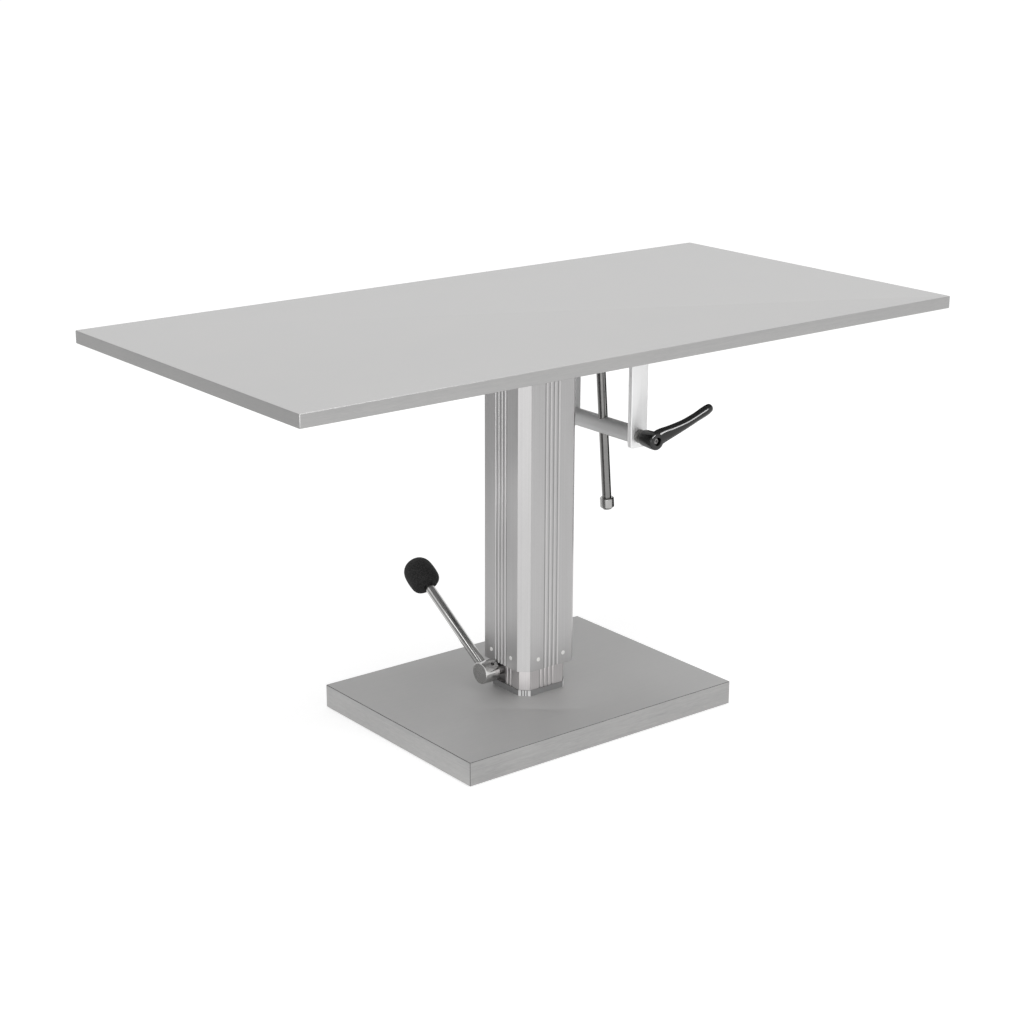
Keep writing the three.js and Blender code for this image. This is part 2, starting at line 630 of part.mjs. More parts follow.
// The knob swells from a rounded mouth round the rod to a full, egg-shaped end
const knobProfile = new THREE.CatmullRomCurve3([
  [KNOB_MOUTH_RADIUS, 0],
  [KNOB_RADIUS * 0.92, KNOB_LENGTH * 0.09],
  [KNOB_RADIUS, KNOB_LENGTH * 0.32],
  [KNOB_RADIUS * 0.97, KNOB_LENGTH * 0.6],
  [KNOB_RADIUS * 0.79, KNOB_LENGTH * 0.83],
  [KNOB_RADIUS * 0.45, KNOB_LENGTH * 0.96],
  [0, KNOB_LENGTH],
].map(([radius, height]) => new THREE.Vector3(radius, KNOB_START + height, 0)));
const knobBore = LEVER_RADIUS + CLEARANCE;
const knob = turned('y', [
  [0, LEVER_LENGTH + CLEARANCE],
  [knobBore, LEVER_LENGTH + CLEARANCE],
  [knobBore, KNOB_START],
  ...knobProfile.getPoints(14).map((point) => [Math.max(point.x, 0), point.y]),
], [leverX, 0, 0], 28);
lever.add(piece('lever_knob', knob, BLACK_RUBBER));

// Crank on the axle: a boss and a slim arm that ends in a round nose under the pump plunger
const crankFrom = plungerX - CRANK_THICKNESS / 2;
const crankTo = plungerX + CRANK_THICKNESS / 2;
const crank = round('x', CRANK_BOSS_RADIUS, crankFrom, crankTo)
  .add(block([crankFrom, crankTo], [-CRANK_REACH, 0], [-CRANK_ARM_HALF, CRANK_ARM_HALF]))
  .add(round('x', CRANK_NOSE_RADIUS, crankFrom, crankTo, [0, -CRANK_REACH, 0]))
  .subtract(round('x', AXLE_RADIUS + CLEARANCE, -SLEEVE_SIDE, SLEEVE_SIDE));
const crankMesh = piece('crank_arm', crank, BARE_STEEL);
crankMesh.rotation.x = -lever.rotation.x;
lever.add(crankMesh);

// Pump plunger on the crank's nose, and the coil spring that presses it down
const plungerFoot = AXLE_HEIGHT + CRANK_NOSE_RADIUS + CLEARANCE;
const plunger = turned('z', [
  [0, plungerFoot],
  [PLUNGER_FOOT_RADIUS, plungerFoot],
  [PLUNGER_FOOT_RADIUS, plungerFoot + PLUNGER_FOOT],
  [PLUNGER_RADIUS, plungerFoot + PLUNGER_FOOT],
  [PLUNGER_RADIUS, plungerFoot + PLUNGER_LENGTH],
  [0, plungerFoot + PLUNGER_LENGTH],
], [plungerX, plungerY, 0]);
table.add(piece('pump_plunger', plunger, POLISHED));

class Coil extends THREE.Curve {
  constructor(radius, bottom, top, turns) {
    super();
    Object.assign(this, { radius, bottom, top, turns });
  }

  getPoint(t, target = new THREE.Vector3()) {
    const angle = 2 * Math.PI * this.turns * t;
    return target.set(
      this.radius * Math.cos(angle),
      this.radius * Math.sin(angle),
      THREE.MathUtils.lerp(this.bottom, this.top, t),
    );
  }
}

const springBottom = plungerFoot + PLUNGER_FOOT + CLEARANCE + SPRING_WIRE;
const springTop = PUMP_CHAMBER_FLOOR - CLEARANCE - SPRING_WIRE;
const wire = new THREE.Shape();
wire.absarc(0, 0, SPRING_WIRE, 0, 2 * Math.PI);
const spring = new THREE.ExtrudeGeometry(wire, {
  steps: 8 * SPRING_TURNS,
  curveSegments: 3,
  bevelEnabled: false,
  extrudePath: new Coil(SPRING_RADIUS, springBottom, springTop, SPRING_TURNS),
});
spring.translate(plungerX, plungerY, 0);
table.add(piece('plunger_spring', solid(spring), DARK_STEEL));
const springPitch = (springTop - springBottom) / SPRING_TURNS;
console.log(`plunger spring: gap between turns ${(springPitch - 2 * SPRING_WIRE).toFixed(2)} mm`);

// Head plate on the outer column, with two rails that carry the top
const railOuter = RAIL_SPREAD + RAIL_THICKNESS;
const headPlate = extruded(
  'z', roundedRectangle(HEAD_PLATE_LENGTH, 2 * railOuter, HEAD_CORNER_RADIUS), sleeveTop, railBottom,
);
table.add(piece('head_plate', headPlate, PAINTED_STEEL));

const SIDES = [['near', -1], ['far', 1]];
const railOutline = new THREE.Shape();
railOutline.moveTo(hingeZ + RAIL_HEIGHT / 2, HINGE_X);
railOutline.lineTo(hingeZ + RAIL_HEIGHT / 2, RAIL_END);
railOutline.lineTo(hingeZ - RAIL_HEIGHT / 2, RAIL_END);
railOutline.lineTo(hingeZ - RAIL_HEIGHT / 2, HINGE_X);
railOutline.absarc(hingeZ, HINGE_X, RAIL_HEIGHT / 2, Math.PI, 2 * Math.PI);
const hingeAt = [HINGE_X, 0, hingeZ];
const hingeBore = round('y', HINGE_RADIUS + CLEARANCE, -TOP_WIDTH, TOP_WIDTH, hingeAt);
for (const [name, side] of SIDES) {
  const [low, high] = [side * RAIL_SPREAD, side * railOuter].sort((a, b) => a - b);
  const rail = extruded('y', railOutline, low, high, [0, 0, 0], 16).subtract(hingeBore);
  table.add(piece(`side_rail_${name}`, rail, PAINTED_STEEL));
  const bufferX = BAR_X - BUFFER_LENGTH / 2;
  const bufferEnd = BUFFER_HEIGHT / 2;
  const buffer = new THREE.Shape();
  buffer.moveTo(railTop, bufferX);
  const crownZ = railTop + BUFFER_HEIGHT - bufferEnd;
  buffer.absarc(crownZ, bufferX + bufferEnd, bufferEnd, 1.5 * Math.PI, 2 * Math.PI);
  buffer.absarc(crownZ, bufferX + BUFFER_LENGTH - bufferEnd, bufferEnd, 0, Math.PI / 2);
  buffer.lineTo(railTop, bufferX + BUFFER_LENGTH);
  table.add(piece(`rest_buffer_${name}`, extruded('y', buffer, low, high), BLACK_RUBBER));
}
const hingeReach = railOuter + CLEARANCE;
const hingeAxle = round('y', HINGE_RADIUS, -hingeReach, hingeReach, hingeAt)
  .add(round('y', HINGE_HEAD_RADIUS, -hingeReach - HINGE_HEAD, -hingeReach, hingeAt))
  .add(round('y', HINGE_HEAD_RADIUS, hingeReach, hingeReach + HINGE_HEAD, hingeAt));
table.add(piece('hinge_axle', hingeAxle, BARE_STEEL));

// Table top: folded sheet with a return flange below, round a board
const sheetHollow = block(
  [-TOP_LENGTH / 2 + TOP_SHEET, TOP_LENGTH / 2 - TOP_SHEET],
  [-TOP_WIDTH / 2 + TOP_SHEET, TOP_WIDTH / 2 - TOP_SHEET],
  [boardUnderside, TOP_HEIGHT - TOP_SHEET],
);
const sheetOpening = block(
  [-TOP_LENGTH / 2 + TOP_RETURN, TOP_LENGTH / 2 - TOP_RETURN],
  [-TOP_WIDTH / 2 + TOP_RETURN, TOP_WIDTH / 2 - TOP_RETURN],
  [topUnderside - OVERCUT, boardUnderside + OVERCUT],
);
const topSheet = foldedBox(
  TOP_LENGTH, TOP_WIDTH, topUnderside, TOP_HEIGHT, TOP_CORNER_RADIUS, TOP_BEND_RADIUS,
).subtract(sheetHollow).subtract(sheetOpening);
table.add(piece('top_sheet', topSheet, STAINLESS));
const boardX = TOP_LENGTH / 2 - TOP_SHEET - CLEARANCE;
const boardY = TOP_WIDTH / 2 - TOP_SHEET - CLEARANCE;
const boardTop = TOP_HEIGHT - TOP_SHEET - CLEARANCE;
const topBoard = block([-boardX, boardX], [-boardY, boardY], [boardUnderside, boardTop]);
table.add(piece('top_board', topBoard, BOARD));

// Hinge lugs under the board, one inside each rail
const lugOutline = new THREE.Shape();
lugOutline.moveTo(boardUnderside, HINGE_X - LUG_RADIUS);
lugOutline.lineTo(boardUnderside, HINGE_X + LUG_RADIUS);
lugOutline.lineTo(hingeZ, HINGE_X + LUG_RADIUS);
lugOutline.absarc(hingeZ, HINGE_X, LUG_RADIUS, Math.PI / 2, 1.5 * Math.PI);
const lugOuter = RAIL_SPREAD - CLEARANCE;
for (const [name, side] of SIDES) {
  const [low, high] = [side * (lugOuter - LUG_THICKNESS), side * lugOuter].sort((a, b) => a - b);
  const [inner, outer] = [side * (lugOuter - LUG_FLANGE_WIDTH), side * lugOuter].sort((a, b) => a - b);
  const flange = block(
    [HINGE_X - LUG_FLANGE_LENGTH / 2, HINGE_X + LUG_FLANGE_LENGTH / 2],
    [inner, outer],
    [boardUnderside - LUG_FLANGE, boardUnderside],
  );
  const lug = extruded('y', lugOutline, low, high, [0, 0, 0], 16).add(flange).subtract(hingeBore);
  table.add(piece(`hinge_lug_${name}`, lug, PAINTED_STEEL));
}

// Two legs bolted outside the rails hold the swivelling bar
const legFoot = barZ - LEG_BELOW_BAR;
const legOutline = new THREE.Shape();
legOutline.moveTo(railTop, BAR_X - LEG_WIDTH / 2);
legOutline.lineTo(railTop, BAR_X + LEG_WIDTH / 2);
const legCorner = LEG_WIDTH / 2 - LEG_CORNER_RADIUS;
const cornerZ = legFoot + LEG_CORNER_RADIUS;
legOutline.absarc(cornerZ, BAR_X + legCorner, LEG_CORNER_RADIUS, Math.PI / 2, Math.PI);
legOutline.absarc(cornerZ, BAR_X - legCorner, LEG_CORNER_RADIUS, Math.PI, 1.5 * Math.PI);
const barAt = [BAR_X, 0, barZ];
const journalBore = round('y', JOURNAL_RADIUS + CLEARANCE, -TOP_WIDTH, TOP_WIDTH, barAt);
const legOuter = railOuter + LEG_THICKNESS;
for (const [name, side] of SIDES) {
  const [low, high] = [side * railOuter, side * legOuter].sort((a, b) => a - b);
  const leg = extruded('y', legOutline, low, high).subtract(journalBore);
  table.add(piece(`clamp_leg_${name}`, leg, ALUMINIUM));
}

// Cross bar on two journals, drilled across for the rod and along for the clamp screw
const lean = THREE.MathUtils.degToRad(ROD_LEAN);
const barEnd = railOuter - CLEARANCE;
const journalEnd = legOuter - CLEARANCE;
const rodBoreRadius = ROD_RADIUS + CLEARANCE;
const rodBore = new THREE.CylinderGeometry(rodBoreRadius, rodBoreRadius, 4 * BAR_RADIUS, 28);
rodBore.rotateX(Math.PI / 2).rotateY(-lean).translate(...barAt);
const crossBar = turned('y', [
  [0, -journalEnd],
  [JOURNAL_RADIUS, -journalEnd],
  [JOURNAL_RADIUS, -barEnd],
  [BAR_RADIUS - BAR_EDGE, -barEnd],
  [BAR_RADIUS, -barEnd + BAR_EDGE],
  [BAR_RADIUS, barEnd - BAR_EDGE],
  [BAR_RADIUS - BAR_EDGE, barEnd],
  [JOURNAL_RADIUS, barEnd],
  [JOURNAL_RADIUS, journalEnd],
  [0, journalEnd],
], barAt, 28).subtract(round('y', STUD_SCREW_RADIUS + CLEARANCE, -journalEnd - OVERCUT, 0, barAt))
  .subtract(solid(rodBore));
table.add(piece('cross_bar', crossBar, ALUMINIUM));

// Tilt rod: slides through the bar, with a slotted eye on the pin under the top and a stop collar below
const rodGroup = new THREE.Group();
rodGroup.position.set(...barAt);
rodGroup.rotation.y = -lean;
table.add(rodGroup);
const pinZ = boardUnderside - PIN_BELOW_TOP;
const pinX = BAR_X - (pinZ - barZ) * Math.tan(lean);
const pinReach = Math.hypot(pinX - BAR_X, pinZ - barZ);
const eyeBore = PIN_RADIUS + PIN_CLEARANCE;

function eyeOutline(radius) {
  const shape = new THREE.Shape();
  shape.absarc(pinReach, PIN_PLAY, radius, 0, Math.PI);
  shape.absarc(pinReach, 0, radius, Math.PI, 2 * Math.PI);
  return shape;
}

const eyeHalf = ROD_RADIUS - EYE_FLAT;
const eye = extruded('y', eyeOutline(eyeBore + EYE_WALL), -eyeHalf, eyeHalf, [0, 0, 0], 16);
const tiltRod = round('z', ROD_RADIUS, -ROD_BELOW_BAR, pinReach, [0, 0, 0], 28)
  .add(eye)
  .subtract(extruded('y', eyeOutline(eyeBore), -2 * eyeHalf, 2 * eyeHalf, [0, 0, 0], 16));
rodGroup.add(piece('tilt_rod', tiltRod, POLISHED));
const collarLow = -ROD_BELOW_BAR + COLLAR_ABOVE_END;
const collarHigh = collarLow + COLLAR_LENGTH;
const collar = turned('z', [
  [ROD_RADIUS + CLEARANCE, collarLow],
  [COLLAR_RADIUS - COLLAR_EDGE, collarLow],
  [COLLAR_RADIUS, collarLow + COLLAR_EDGE],
  [COLLAR_RADIUS, collarHigh - COLLAR_EDGE],
  [COLLAR_RADIUS - COLLAR_EDGE, collarHigh],
  [ROD_RADIUS + CLEARANCE, collarHigh],
  [ROD_RADIUS + CLEARANCE, collarLow],
]);
rodGroup.add(piece('stop_collar', collar, POLISHED));

// Clevis under the board, with the pin through the rod's eye
const pinAt = [pinX, 0, pinZ];
const earInner = eyeHalf + EAR_GAP;
const earOuter = earInner + EAR_THICKNESS;
const earOutline = new THREE.Shape();
earOutline.moveTo(boardUnderside, pinX - EAR_RADIUS);
earOutline.lineTo(boardUnderside, pinX + EAR_RADIUS);
earOutline.absarc(pinZ, pinX, EAR_RADIUS, Math.PI / 2, 1.5 * Math.PI);
let clevis = block(
  [pinX - CLEVIS_FLANGE_LENGTH / 2, pinX + CLEVIS_FLANGE_LENGTH / 2],
  [-CLEVIS_FLANGE_WIDTH / 2, CLEVIS_FLANGE_WIDTH / 2],
  [boardUnderside - CLEVIS_FLANGE, boardUnderside],
);
for (const side of [-1, 1]) {
  const [low, high] = [side * earInner, side * earOuter].sort((a, b) => a - b);
  clevis = clevis.add(extruded('y', earOutline, low, high, [0, 0, 0], 12));
}
clevis = clevis.subtract(round('y', PIN_RADIUS + CLEARANCE, -TOP_WIDTH, TOP_WIDTH, pinAt));
table.add(piece('rod_clevis', clevis, PAINTED_STEEL));
table.add(piece('clevis_pin', round('y', PIN_RADIUS, -earOuter, earOuter, pinAt), BARE_STEEL));

// Clamp insert: a screw through the bar that presses on the rod, with a collar and core for the handle
const insertFoot = -legOuter - CLEARANCE;
const coreStart = insertFoot - INSERT_COLLAR;
const coreEnd = coreStart - INSERT_CORE;
const clampInsert = round('y', STUD_SCREW_RADIUS, insertFoot - OVERCUT, -ROD_RADIUS - CLEARANCE, barAt)
  .add(round('y', INSERT_COLLAR_RADIUS, coreStart, insertFoot, barAt))
  .add(round('y', INSERT_CORE_RADIUS, coreEnd, coreStart + OVERCUT, barAt));
table.add(piece('clamp_insert', clampInsert, DARK_STEEL));

// Clamp handle: a moulded hub over the core, drawn out into a curved arm with a rounded end
const handleFoot = coreStart - CLEARANCE;
const handleEnd = handleFoot - HANDLE_LENGTH;
const webInner = coreEnd - CLEARANCE;
const webOuter = webInner - HANDLE_WEB;
const handleHub = turned('y', [
  [0, handleEnd],
  [HANDLE_RADIUS * 0.72, handleEnd],
  [HANDLE_RADIUS * 0.93, handleEnd + HANDLE_RADIUS * 0.16],
  [HANDLE_RADIUS, handleEnd + HANDLE_RADIUS * 0.4],
  [HANDLE_RADIUS, handleEnd + HANDLE_RADIUS],
  [HANDLE_FOOT_RADIUS, handleFoot - HANDLE_EDGE],
  [HANDLE_FOOT_RADIUS - HANDLE_EDGE, handleFoot],
  [0, handleFoot],
], barAt);

// Stations along the arm: how far it reaches, how far it stands out from the hub's end, its half
// width and its half depth, the first two as shares of the reach
const ARM_STATIONS = [
  { reach: 0, out: -0.08, width: 12.6, depth: 9 },
  { reach: 0.14, out: -0.06, width: 11.8, depth: 9 },
  { reach: 0.3, out: 0, width: 9.3, depth: 8.4 },
  { reach: 0.5, out: 0.06, width: 8, depth: 7.8 },
  { reach: 0.7, out: 0.09, width: 7.9, depth: 7.5 },
  { reach: 0.86, out: 0.105, width: 8.5, depth: 8 },
  { reach: 0.95, out: 0.11, width: 7.5, depth: 7 },
  { reach: 0.99, out: 0.112, width: 4.6, depth: 4.2 },
];
const armAngle = THREE.MathUtils.degToRad(ARM_ANGLE);
const armAlong = new THREE.Vector3(Math.cos(armAngle), 0, Math.sin(armAngle));
const armAcross = new THREE.Vector3(-Math.sin(armAngle), 0, Math.cos(armAngle));
const armOut = new THREE.Vector3(0, -1, 0);

// Rings of points joined into a closed skin, with a point in the middle of each end
function lofted(rings) {
  const count = rings[0].length;
  const ends = [rings[0], rings.at(-1)].map(
    (ring) => ring.reduce((sum, point) => sum.add(point), new THREE.Vector3()).divideScalar(count),
  );
  const points = [...rings.flat(), ...ends];
  const [first, last] = [points.length - 2, points.length - 1];
  const index = [];
  for (let k = 0; k < count; k += 1) {
    const next = (k + 1) % count;
    index.push(first, next, k);
    for (let ring = 0; ring < rings.length - 1; ring += 1) {
      const [here, there] = [ring * count, (ring + 1) * count];
      index.push(here + k, here + next, there + next, here + k, there + next, there + k);
    }
    const end = (rings.length - 1) * count;
    index.push(last, end + k, end + next);
  }
  const geometry = new THREE.BufferGeometry().setFromPoints(points);
  geometry.setIndex(index);
  return geometry;
}

const armCentre = new THREE.Vector3(BAR_X, handleEnd, barZ);
const armRings = ARM_STATIONS.map(({ reach, out, width, depth }) => {
  const middle = armCentre.clone()
    .addScaledVector(armAlong, reach * ARM_REACH)
    .addScaledVector(armOut, out * ARM_REACH);
  return Array.from({ length: ARM_SIDES }, (_, k) => {
    const angle = 2 * Math.PI * k / ARM_SIDES;
    return middle.clone()
      .addScaledVector(armAcross, width * Math.cos(angle))
      .addScaledVector(armOut, depth * Math.sin(angle));
  });
});
const clampHandle = handleHub.add(solid(lofted(armRings)))
  .subtract(round('y', INSERT_CORE_RADIUS + CLEARANCE, webInner, handleFoot + OVERCUT, barAt))
  .subtract(round('y', HANDLE_SCREW_RADIUS + CLEARANCE, handleEnd, handleFoot, barAt, 20))
  .subtract(round('y', HANDLE_RECESS_RADIUS, handleEnd - ARM_REACH, webOuter, barAt));
table.add(piece('clamp_handle', clampHandle, BLACK_PLASTIC));
const screwHead = handleEnd + HANDLE_SCREW_SUNK;
const handleScrew = round('y', HANDLE_SCREW_HEAD_RADIUS, screwHead, screwHead + HANDLE_SCREW_HEAD, barAt)
  .add(round('y', HANDLE_SCREW_RADIUS, screwHead + OVERCUT, coreEnd, barAt, 20));
table.add(piece('handle_screw', handleScrew, DARK_STEEL));

export default table;
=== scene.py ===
import json
import math

import bmesh
import bpy
from mathutils import Matrix, Vector


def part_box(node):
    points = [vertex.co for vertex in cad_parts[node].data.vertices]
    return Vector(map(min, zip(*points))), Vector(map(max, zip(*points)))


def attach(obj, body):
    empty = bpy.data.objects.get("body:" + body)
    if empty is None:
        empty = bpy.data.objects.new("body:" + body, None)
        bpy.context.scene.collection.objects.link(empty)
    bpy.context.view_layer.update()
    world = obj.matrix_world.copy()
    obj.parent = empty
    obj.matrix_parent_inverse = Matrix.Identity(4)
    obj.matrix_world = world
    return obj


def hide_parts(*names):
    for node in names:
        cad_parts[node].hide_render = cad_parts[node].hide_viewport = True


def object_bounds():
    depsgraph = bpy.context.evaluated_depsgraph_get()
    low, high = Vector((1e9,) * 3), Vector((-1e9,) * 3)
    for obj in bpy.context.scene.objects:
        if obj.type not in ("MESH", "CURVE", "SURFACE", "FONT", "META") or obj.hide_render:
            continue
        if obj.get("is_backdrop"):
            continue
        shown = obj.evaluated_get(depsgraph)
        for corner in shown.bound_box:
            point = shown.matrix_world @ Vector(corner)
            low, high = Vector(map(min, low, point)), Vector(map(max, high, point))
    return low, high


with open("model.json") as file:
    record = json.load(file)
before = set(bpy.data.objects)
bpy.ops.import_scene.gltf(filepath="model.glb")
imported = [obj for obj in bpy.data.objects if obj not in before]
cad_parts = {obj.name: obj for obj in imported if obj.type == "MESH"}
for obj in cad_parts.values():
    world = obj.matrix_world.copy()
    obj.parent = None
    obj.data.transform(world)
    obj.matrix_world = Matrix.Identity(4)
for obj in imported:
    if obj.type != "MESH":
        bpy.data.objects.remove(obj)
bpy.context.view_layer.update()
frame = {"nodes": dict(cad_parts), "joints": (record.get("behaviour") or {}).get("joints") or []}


# Base plate, its two bearers and the four rubber pads that it stands on.
# The plate is a thick steel slab, ground flat and oiled. The pads are moulded rubber plugs
# pushed into it from below, and only their edges show, from low down.


class Wire:
    """A shader socket that can be added, taken away and multiplied."""

    def __init__(self, paint, socket):
        self.paint = paint
        self.socket = socket

    def __add__(self, other):
        return self.paint.maths("ADD", self, other)

    def __sub__(self, other):
        return self.paint.maths("SUBTRACT", self, other)

    def __rsub__(self, other):
        return self.paint.maths("SUBTRACT", other, self)

    def __mul__(self, other):
        return self.paint.maths("MULTIPLY", self, other)

    def __abs__(self):
        return self.paint.maths("ABSOLUTE", self)

    __radd__ = __add__
    __rmul__ = __mul__


class Paint:
    """A procedural finish: a Principled shader and the nodes that feed it."""

    def __init__(self, name, **uniform):
        self.material = bpy.data.materials.new(name)
        self.material.use_nodes = True
        self.tree = self.material.node_tree
        self.shader = self.tree.nodes["Principled BSDF"]
        for socket, value in uniform.items():
            self.shader.inputs[socket.replace("_", " ")].default_value = value
        self.place = self.node("ShaderNodeTexCoord", {}, {}, "Object")

    def node(self, kind, settings, inputs, output=0):
        """Adds a node with its settings and the values or links of its sockets."""
        node = self.tree.nodes.new(kind)
        for name, value in settings.items():
            setattr(node, name, value)
        for key, value in inputs.items():
            if isinstance(value, Wire):
                self.tree.links.new(value.socket, node.inputs[key])
            else:
                node.inputs[key].default_value = value
        return Wire(self, node.outputs[output])

    def maths(self, operation, *values):
        return self.node("ShaderNodeMath", {"operation": operation}, dict(enumerate(values)))

    def axes(self, place):
        """The x, y and z of a place."""
        parts = self.node("ShaderNodeSeparateXYZ", {}, {0: place}).socket.node.outputs
        return [Wire(self, part) for part in parts]

    def noise(self, scale, detail):
        """Noise of one scale, or of one for each axis."""
        scales = scale if isinstance(scale, tuple) else (scale,) * 3
        place = self.node("ShaderNodeMapping", {}, {"Vector": self.place, "Scale": scales})
        return self.node("ShaderNodeTexNoise", {}, {"Vector": place, "Scale": 1.0, "Detail": detail})

    def spread(self, value, low, high, to_low, to_high):
        inputs = {"Value": value, "From Min": low, "From Max": high, "To Min": to_low, "To Max": to_high}
        return self.node("ShaderNodeMapRange", {}, inputs)

    def mix(self, factor, first, second):
        first, second = [tone if isinstance(tone, Wire) else (*tone, 1) for tone in (first, second)]
        return self.node("ShaderNodeMix", {"data_type": "RGBA"}, {0: factor, 6: first, 7: second}, 2)

    def feed(self, socket, wire):
        self.tree.links.new(wire.socket, self.shader.inputs[socket])

    def colour(self, factor, first, second):
        self.feed("Base Color", self.mix(factor, first, second))

    def rough(self, noise, low, high):
        """Roughness from one value to another over the usual run of a noise."""
        self.feed("Roughness", self.spread(noise, 0.3, 0.7, low, high))

    def relief(self, height, strength, distance):
        """Ends a finish with its relief, and gives its material."""
        inputs = {"Strength": strength, "Distance": distance, "Height": height}
        self.feed("Normal", self.node("ShaderNodeBump", {}, inputs))
        return self.material


def grey(level):
    """The linear grey that shows as this level of 255 on screen."""
    share = level / 255
    return (share / 12.92 if share < 0.04045 else ((share + 0.055) / 1.055) ** 2.4,) * 3


def tinted(level, red=0.0, blue=0.0):
    """A grey with a little red or blue in it, in levels of 255."""
    return grey(level + red)[0], grey(level)[0], grey(level + blue)[0]


def dress(finish, *names):
    """Gives CAD pieces a finish in place of their plain one."""
    for name in names:
        node = frame["nodes"][name]
        if node.material_slots:
            node.material_slots[0].material = finish
        else:
            node.data.materials.append(finish)


def oiled_steel(name, level):
    paint = Paint(name, Metallic=1.0)
    stain = paint.noise(18, 5)
    scratch = paint.noise((90, 900, 900), 2)
    worn = stain * 0.7 + scratch * 0.3
    paint.colour(worn, grey(level - 22), tinted(level + 18, 3))
    paint.rough(worn, 0.3, 0.52)
    return paint.relief(scratch, 0.15, 0.0003)


def moulded_rubber():
    paint = Paint("pad_rubber", Metallic=0.0, Specular_IOR_Level=0.35)
    grain = paint.noise(1400, 4)
    cloud = paint.noise(70, 3)
    paint.colour(grain * 0.6 + cloud * 0.4, grey(26), grey(52))
    paint.rough(grain, 0.62, 0.85)
    return paint.relief(grain, 0.5, 0.0002)


plain_steel = oiled_steel("oiled_steel", 150)
dress(plain_steel, "base_plate", "cover_bearer_left", "cover_bearer_right")
pad_rubber = moulded_rubber()
dress(pad_rubber, *[f"foot_pad_{corner}" for corner in range(1, 5)])


# Base cover: stainless sheet over the plate, its sides meeting its top in bends painted dark as a hairline
# joint: partly a dark joint, partly painted shade.
# The top is finished flat and dull, and the sides keep the streaks of the brushing belt.
# The long sides are painted darker than the short sides: painted shade of how the light falls.


def linked(name, data):
    """A new object in the scene."""
    piece = bpy.data.objects.new(name, data)
    bpy.context.scene.collection.objects.link(piece)
    return piece


def smoothed(mesh, angle):
    """Shades a mesh smooth but for edges sharper than an angle in degrees."""
    mesh.polygons.foreach_set("use_smooth", [True] * len(mesh.polygons))
    mesh.set_sharp_from_angle(angle=math.radians(angle))


def finished(name, bm, smooth_angle=35):
    """A bmesh as an object, smooth but for its sharp edges."""
    bmesh.ops.recalc_face_normals(bm, faces=bm.faces)
    mesh = bpy.data.meshes.new(name)
    bm.to_mesh(mesh)
    bm.free()
    smoothed(mesh, smooth_angle)
    return linked(name, mesh)


def fit(piece, finishes, body, slot, *nodes):
    """A piece takes finishes, rides on its body and stands for CAD nodes. Its slot is not used."""
    for finish in finishes:
        piece.data.materials.append(finish)
    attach(piece, body)
    if nodes:
        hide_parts(*nodes)


def rim(length, width, corner, inset, height, steps):
    """Points round a rectangle with rounded corners, drawn in by the inset."""
    least_radius = corner * 0.02
    radius = max(corner - inset, least_radius)
    points = []
    for quarter, (x, y) in enumerate(((1, 1), (-1, 1), (-1, -1), (1, -1))):
        centre = Vector((x * (length / 2 - inset - radius), y * (width / 2 - inset - radius), height))
        for step in range(steps + 1):
            angle = math.pi / 2 * (quarter + step / steps)
            points.append(centre + radius * Vector((math.cos(angle), math.sin(angle), 0)))
    return points


def joined_rings(bm, rings):
    """Faces between each ring of points and the next."""
    for first, second in zip(rings, rings[1:]):
        for here in range(len(first)):
            after = (here + 1) % len(first)
            bm.faces.new((first[here], second[here], second[after], first[after]))


def bend(radius, skin, way, steps):
    """Points of (inset, height) round a quarter bend, from a skin up or down to the side."""
    turns = [math.pi / 2 * step / steps for step in range(steps + 1)]
    return [(radius * (1 - math.sin(turn)), skin + way * radius * (1 - math.cos(turn))) for turn in turns]


def folded_sheet(length, width, corner, section, corner_steps):
    """A sheet folded round a rectangle: rings of its section, from top skin to inner skin."""
    bm = bmesh.new()
    rings = []
    for inset, height in section:
        points = rim(length, width, corner, inset, height, corner_steps)
        rings.append([bm.verts.new(point) for point in points])
    joined_rings(bm, rings)
    bm.faces.new(rings[0])
    bm.faces.new(reversed(rings[-1]))
    bm.normal_update()
    return bm


def brushed_sheet(name, level, along, contrast, roughness, metal=0.85):
    """Stainless sheet brushed along one axis: short strokes, long streaks and soft clouds."""
    paint = Paint(name, Metallic=metal, Specular_IOR_Level=0.4)
    stroke, streak = [
        tuple(low if axis == along else high for axis in "xyz") for low, high in ((70, 1100), (8, 420))
    ]
    strokes = paint.noise(stroke, 3)
    streaks = paint.noise(streak, 2)
    cloud = paint.noise(14, 4)
    tone = paint.spread(strokes * 0.5 + streaks * 0.25 + cloud * 0.25, 0.3, 0.7, 0, 1)
    paint.colour(tone, grey(level - contrast), tinted(level + contrast, 1, -1))
    paint.feed("Roughness", paint.spread(tone, 0, 1, roughness - 0.04, roughness + 0.04))
    return paint.relief(strokes, 0.1, 0.0001)


# Dark grey for the cover's bends: a joint line that is partly painted shade of the seam.
def joint_line():
    paint = Paint("joint_line", Metallic=0.0)
    dust = paint.noise(400, 3)
    paint.colour(dust, grey(76), grey(96))
    paint.rough(dust, 0.64, 0.76)
    return paint.material


cover_low, cover_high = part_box("base_cover")
COVER_SHEET = 0.002
COVER_CORNER = 0.002
COVER_EDGE = 0.0018
JOINT_STEPS = 3
JOINT_SHARE = 0.8
FLAT_FACING = 0.8
SLANTED_FACING = 0.9

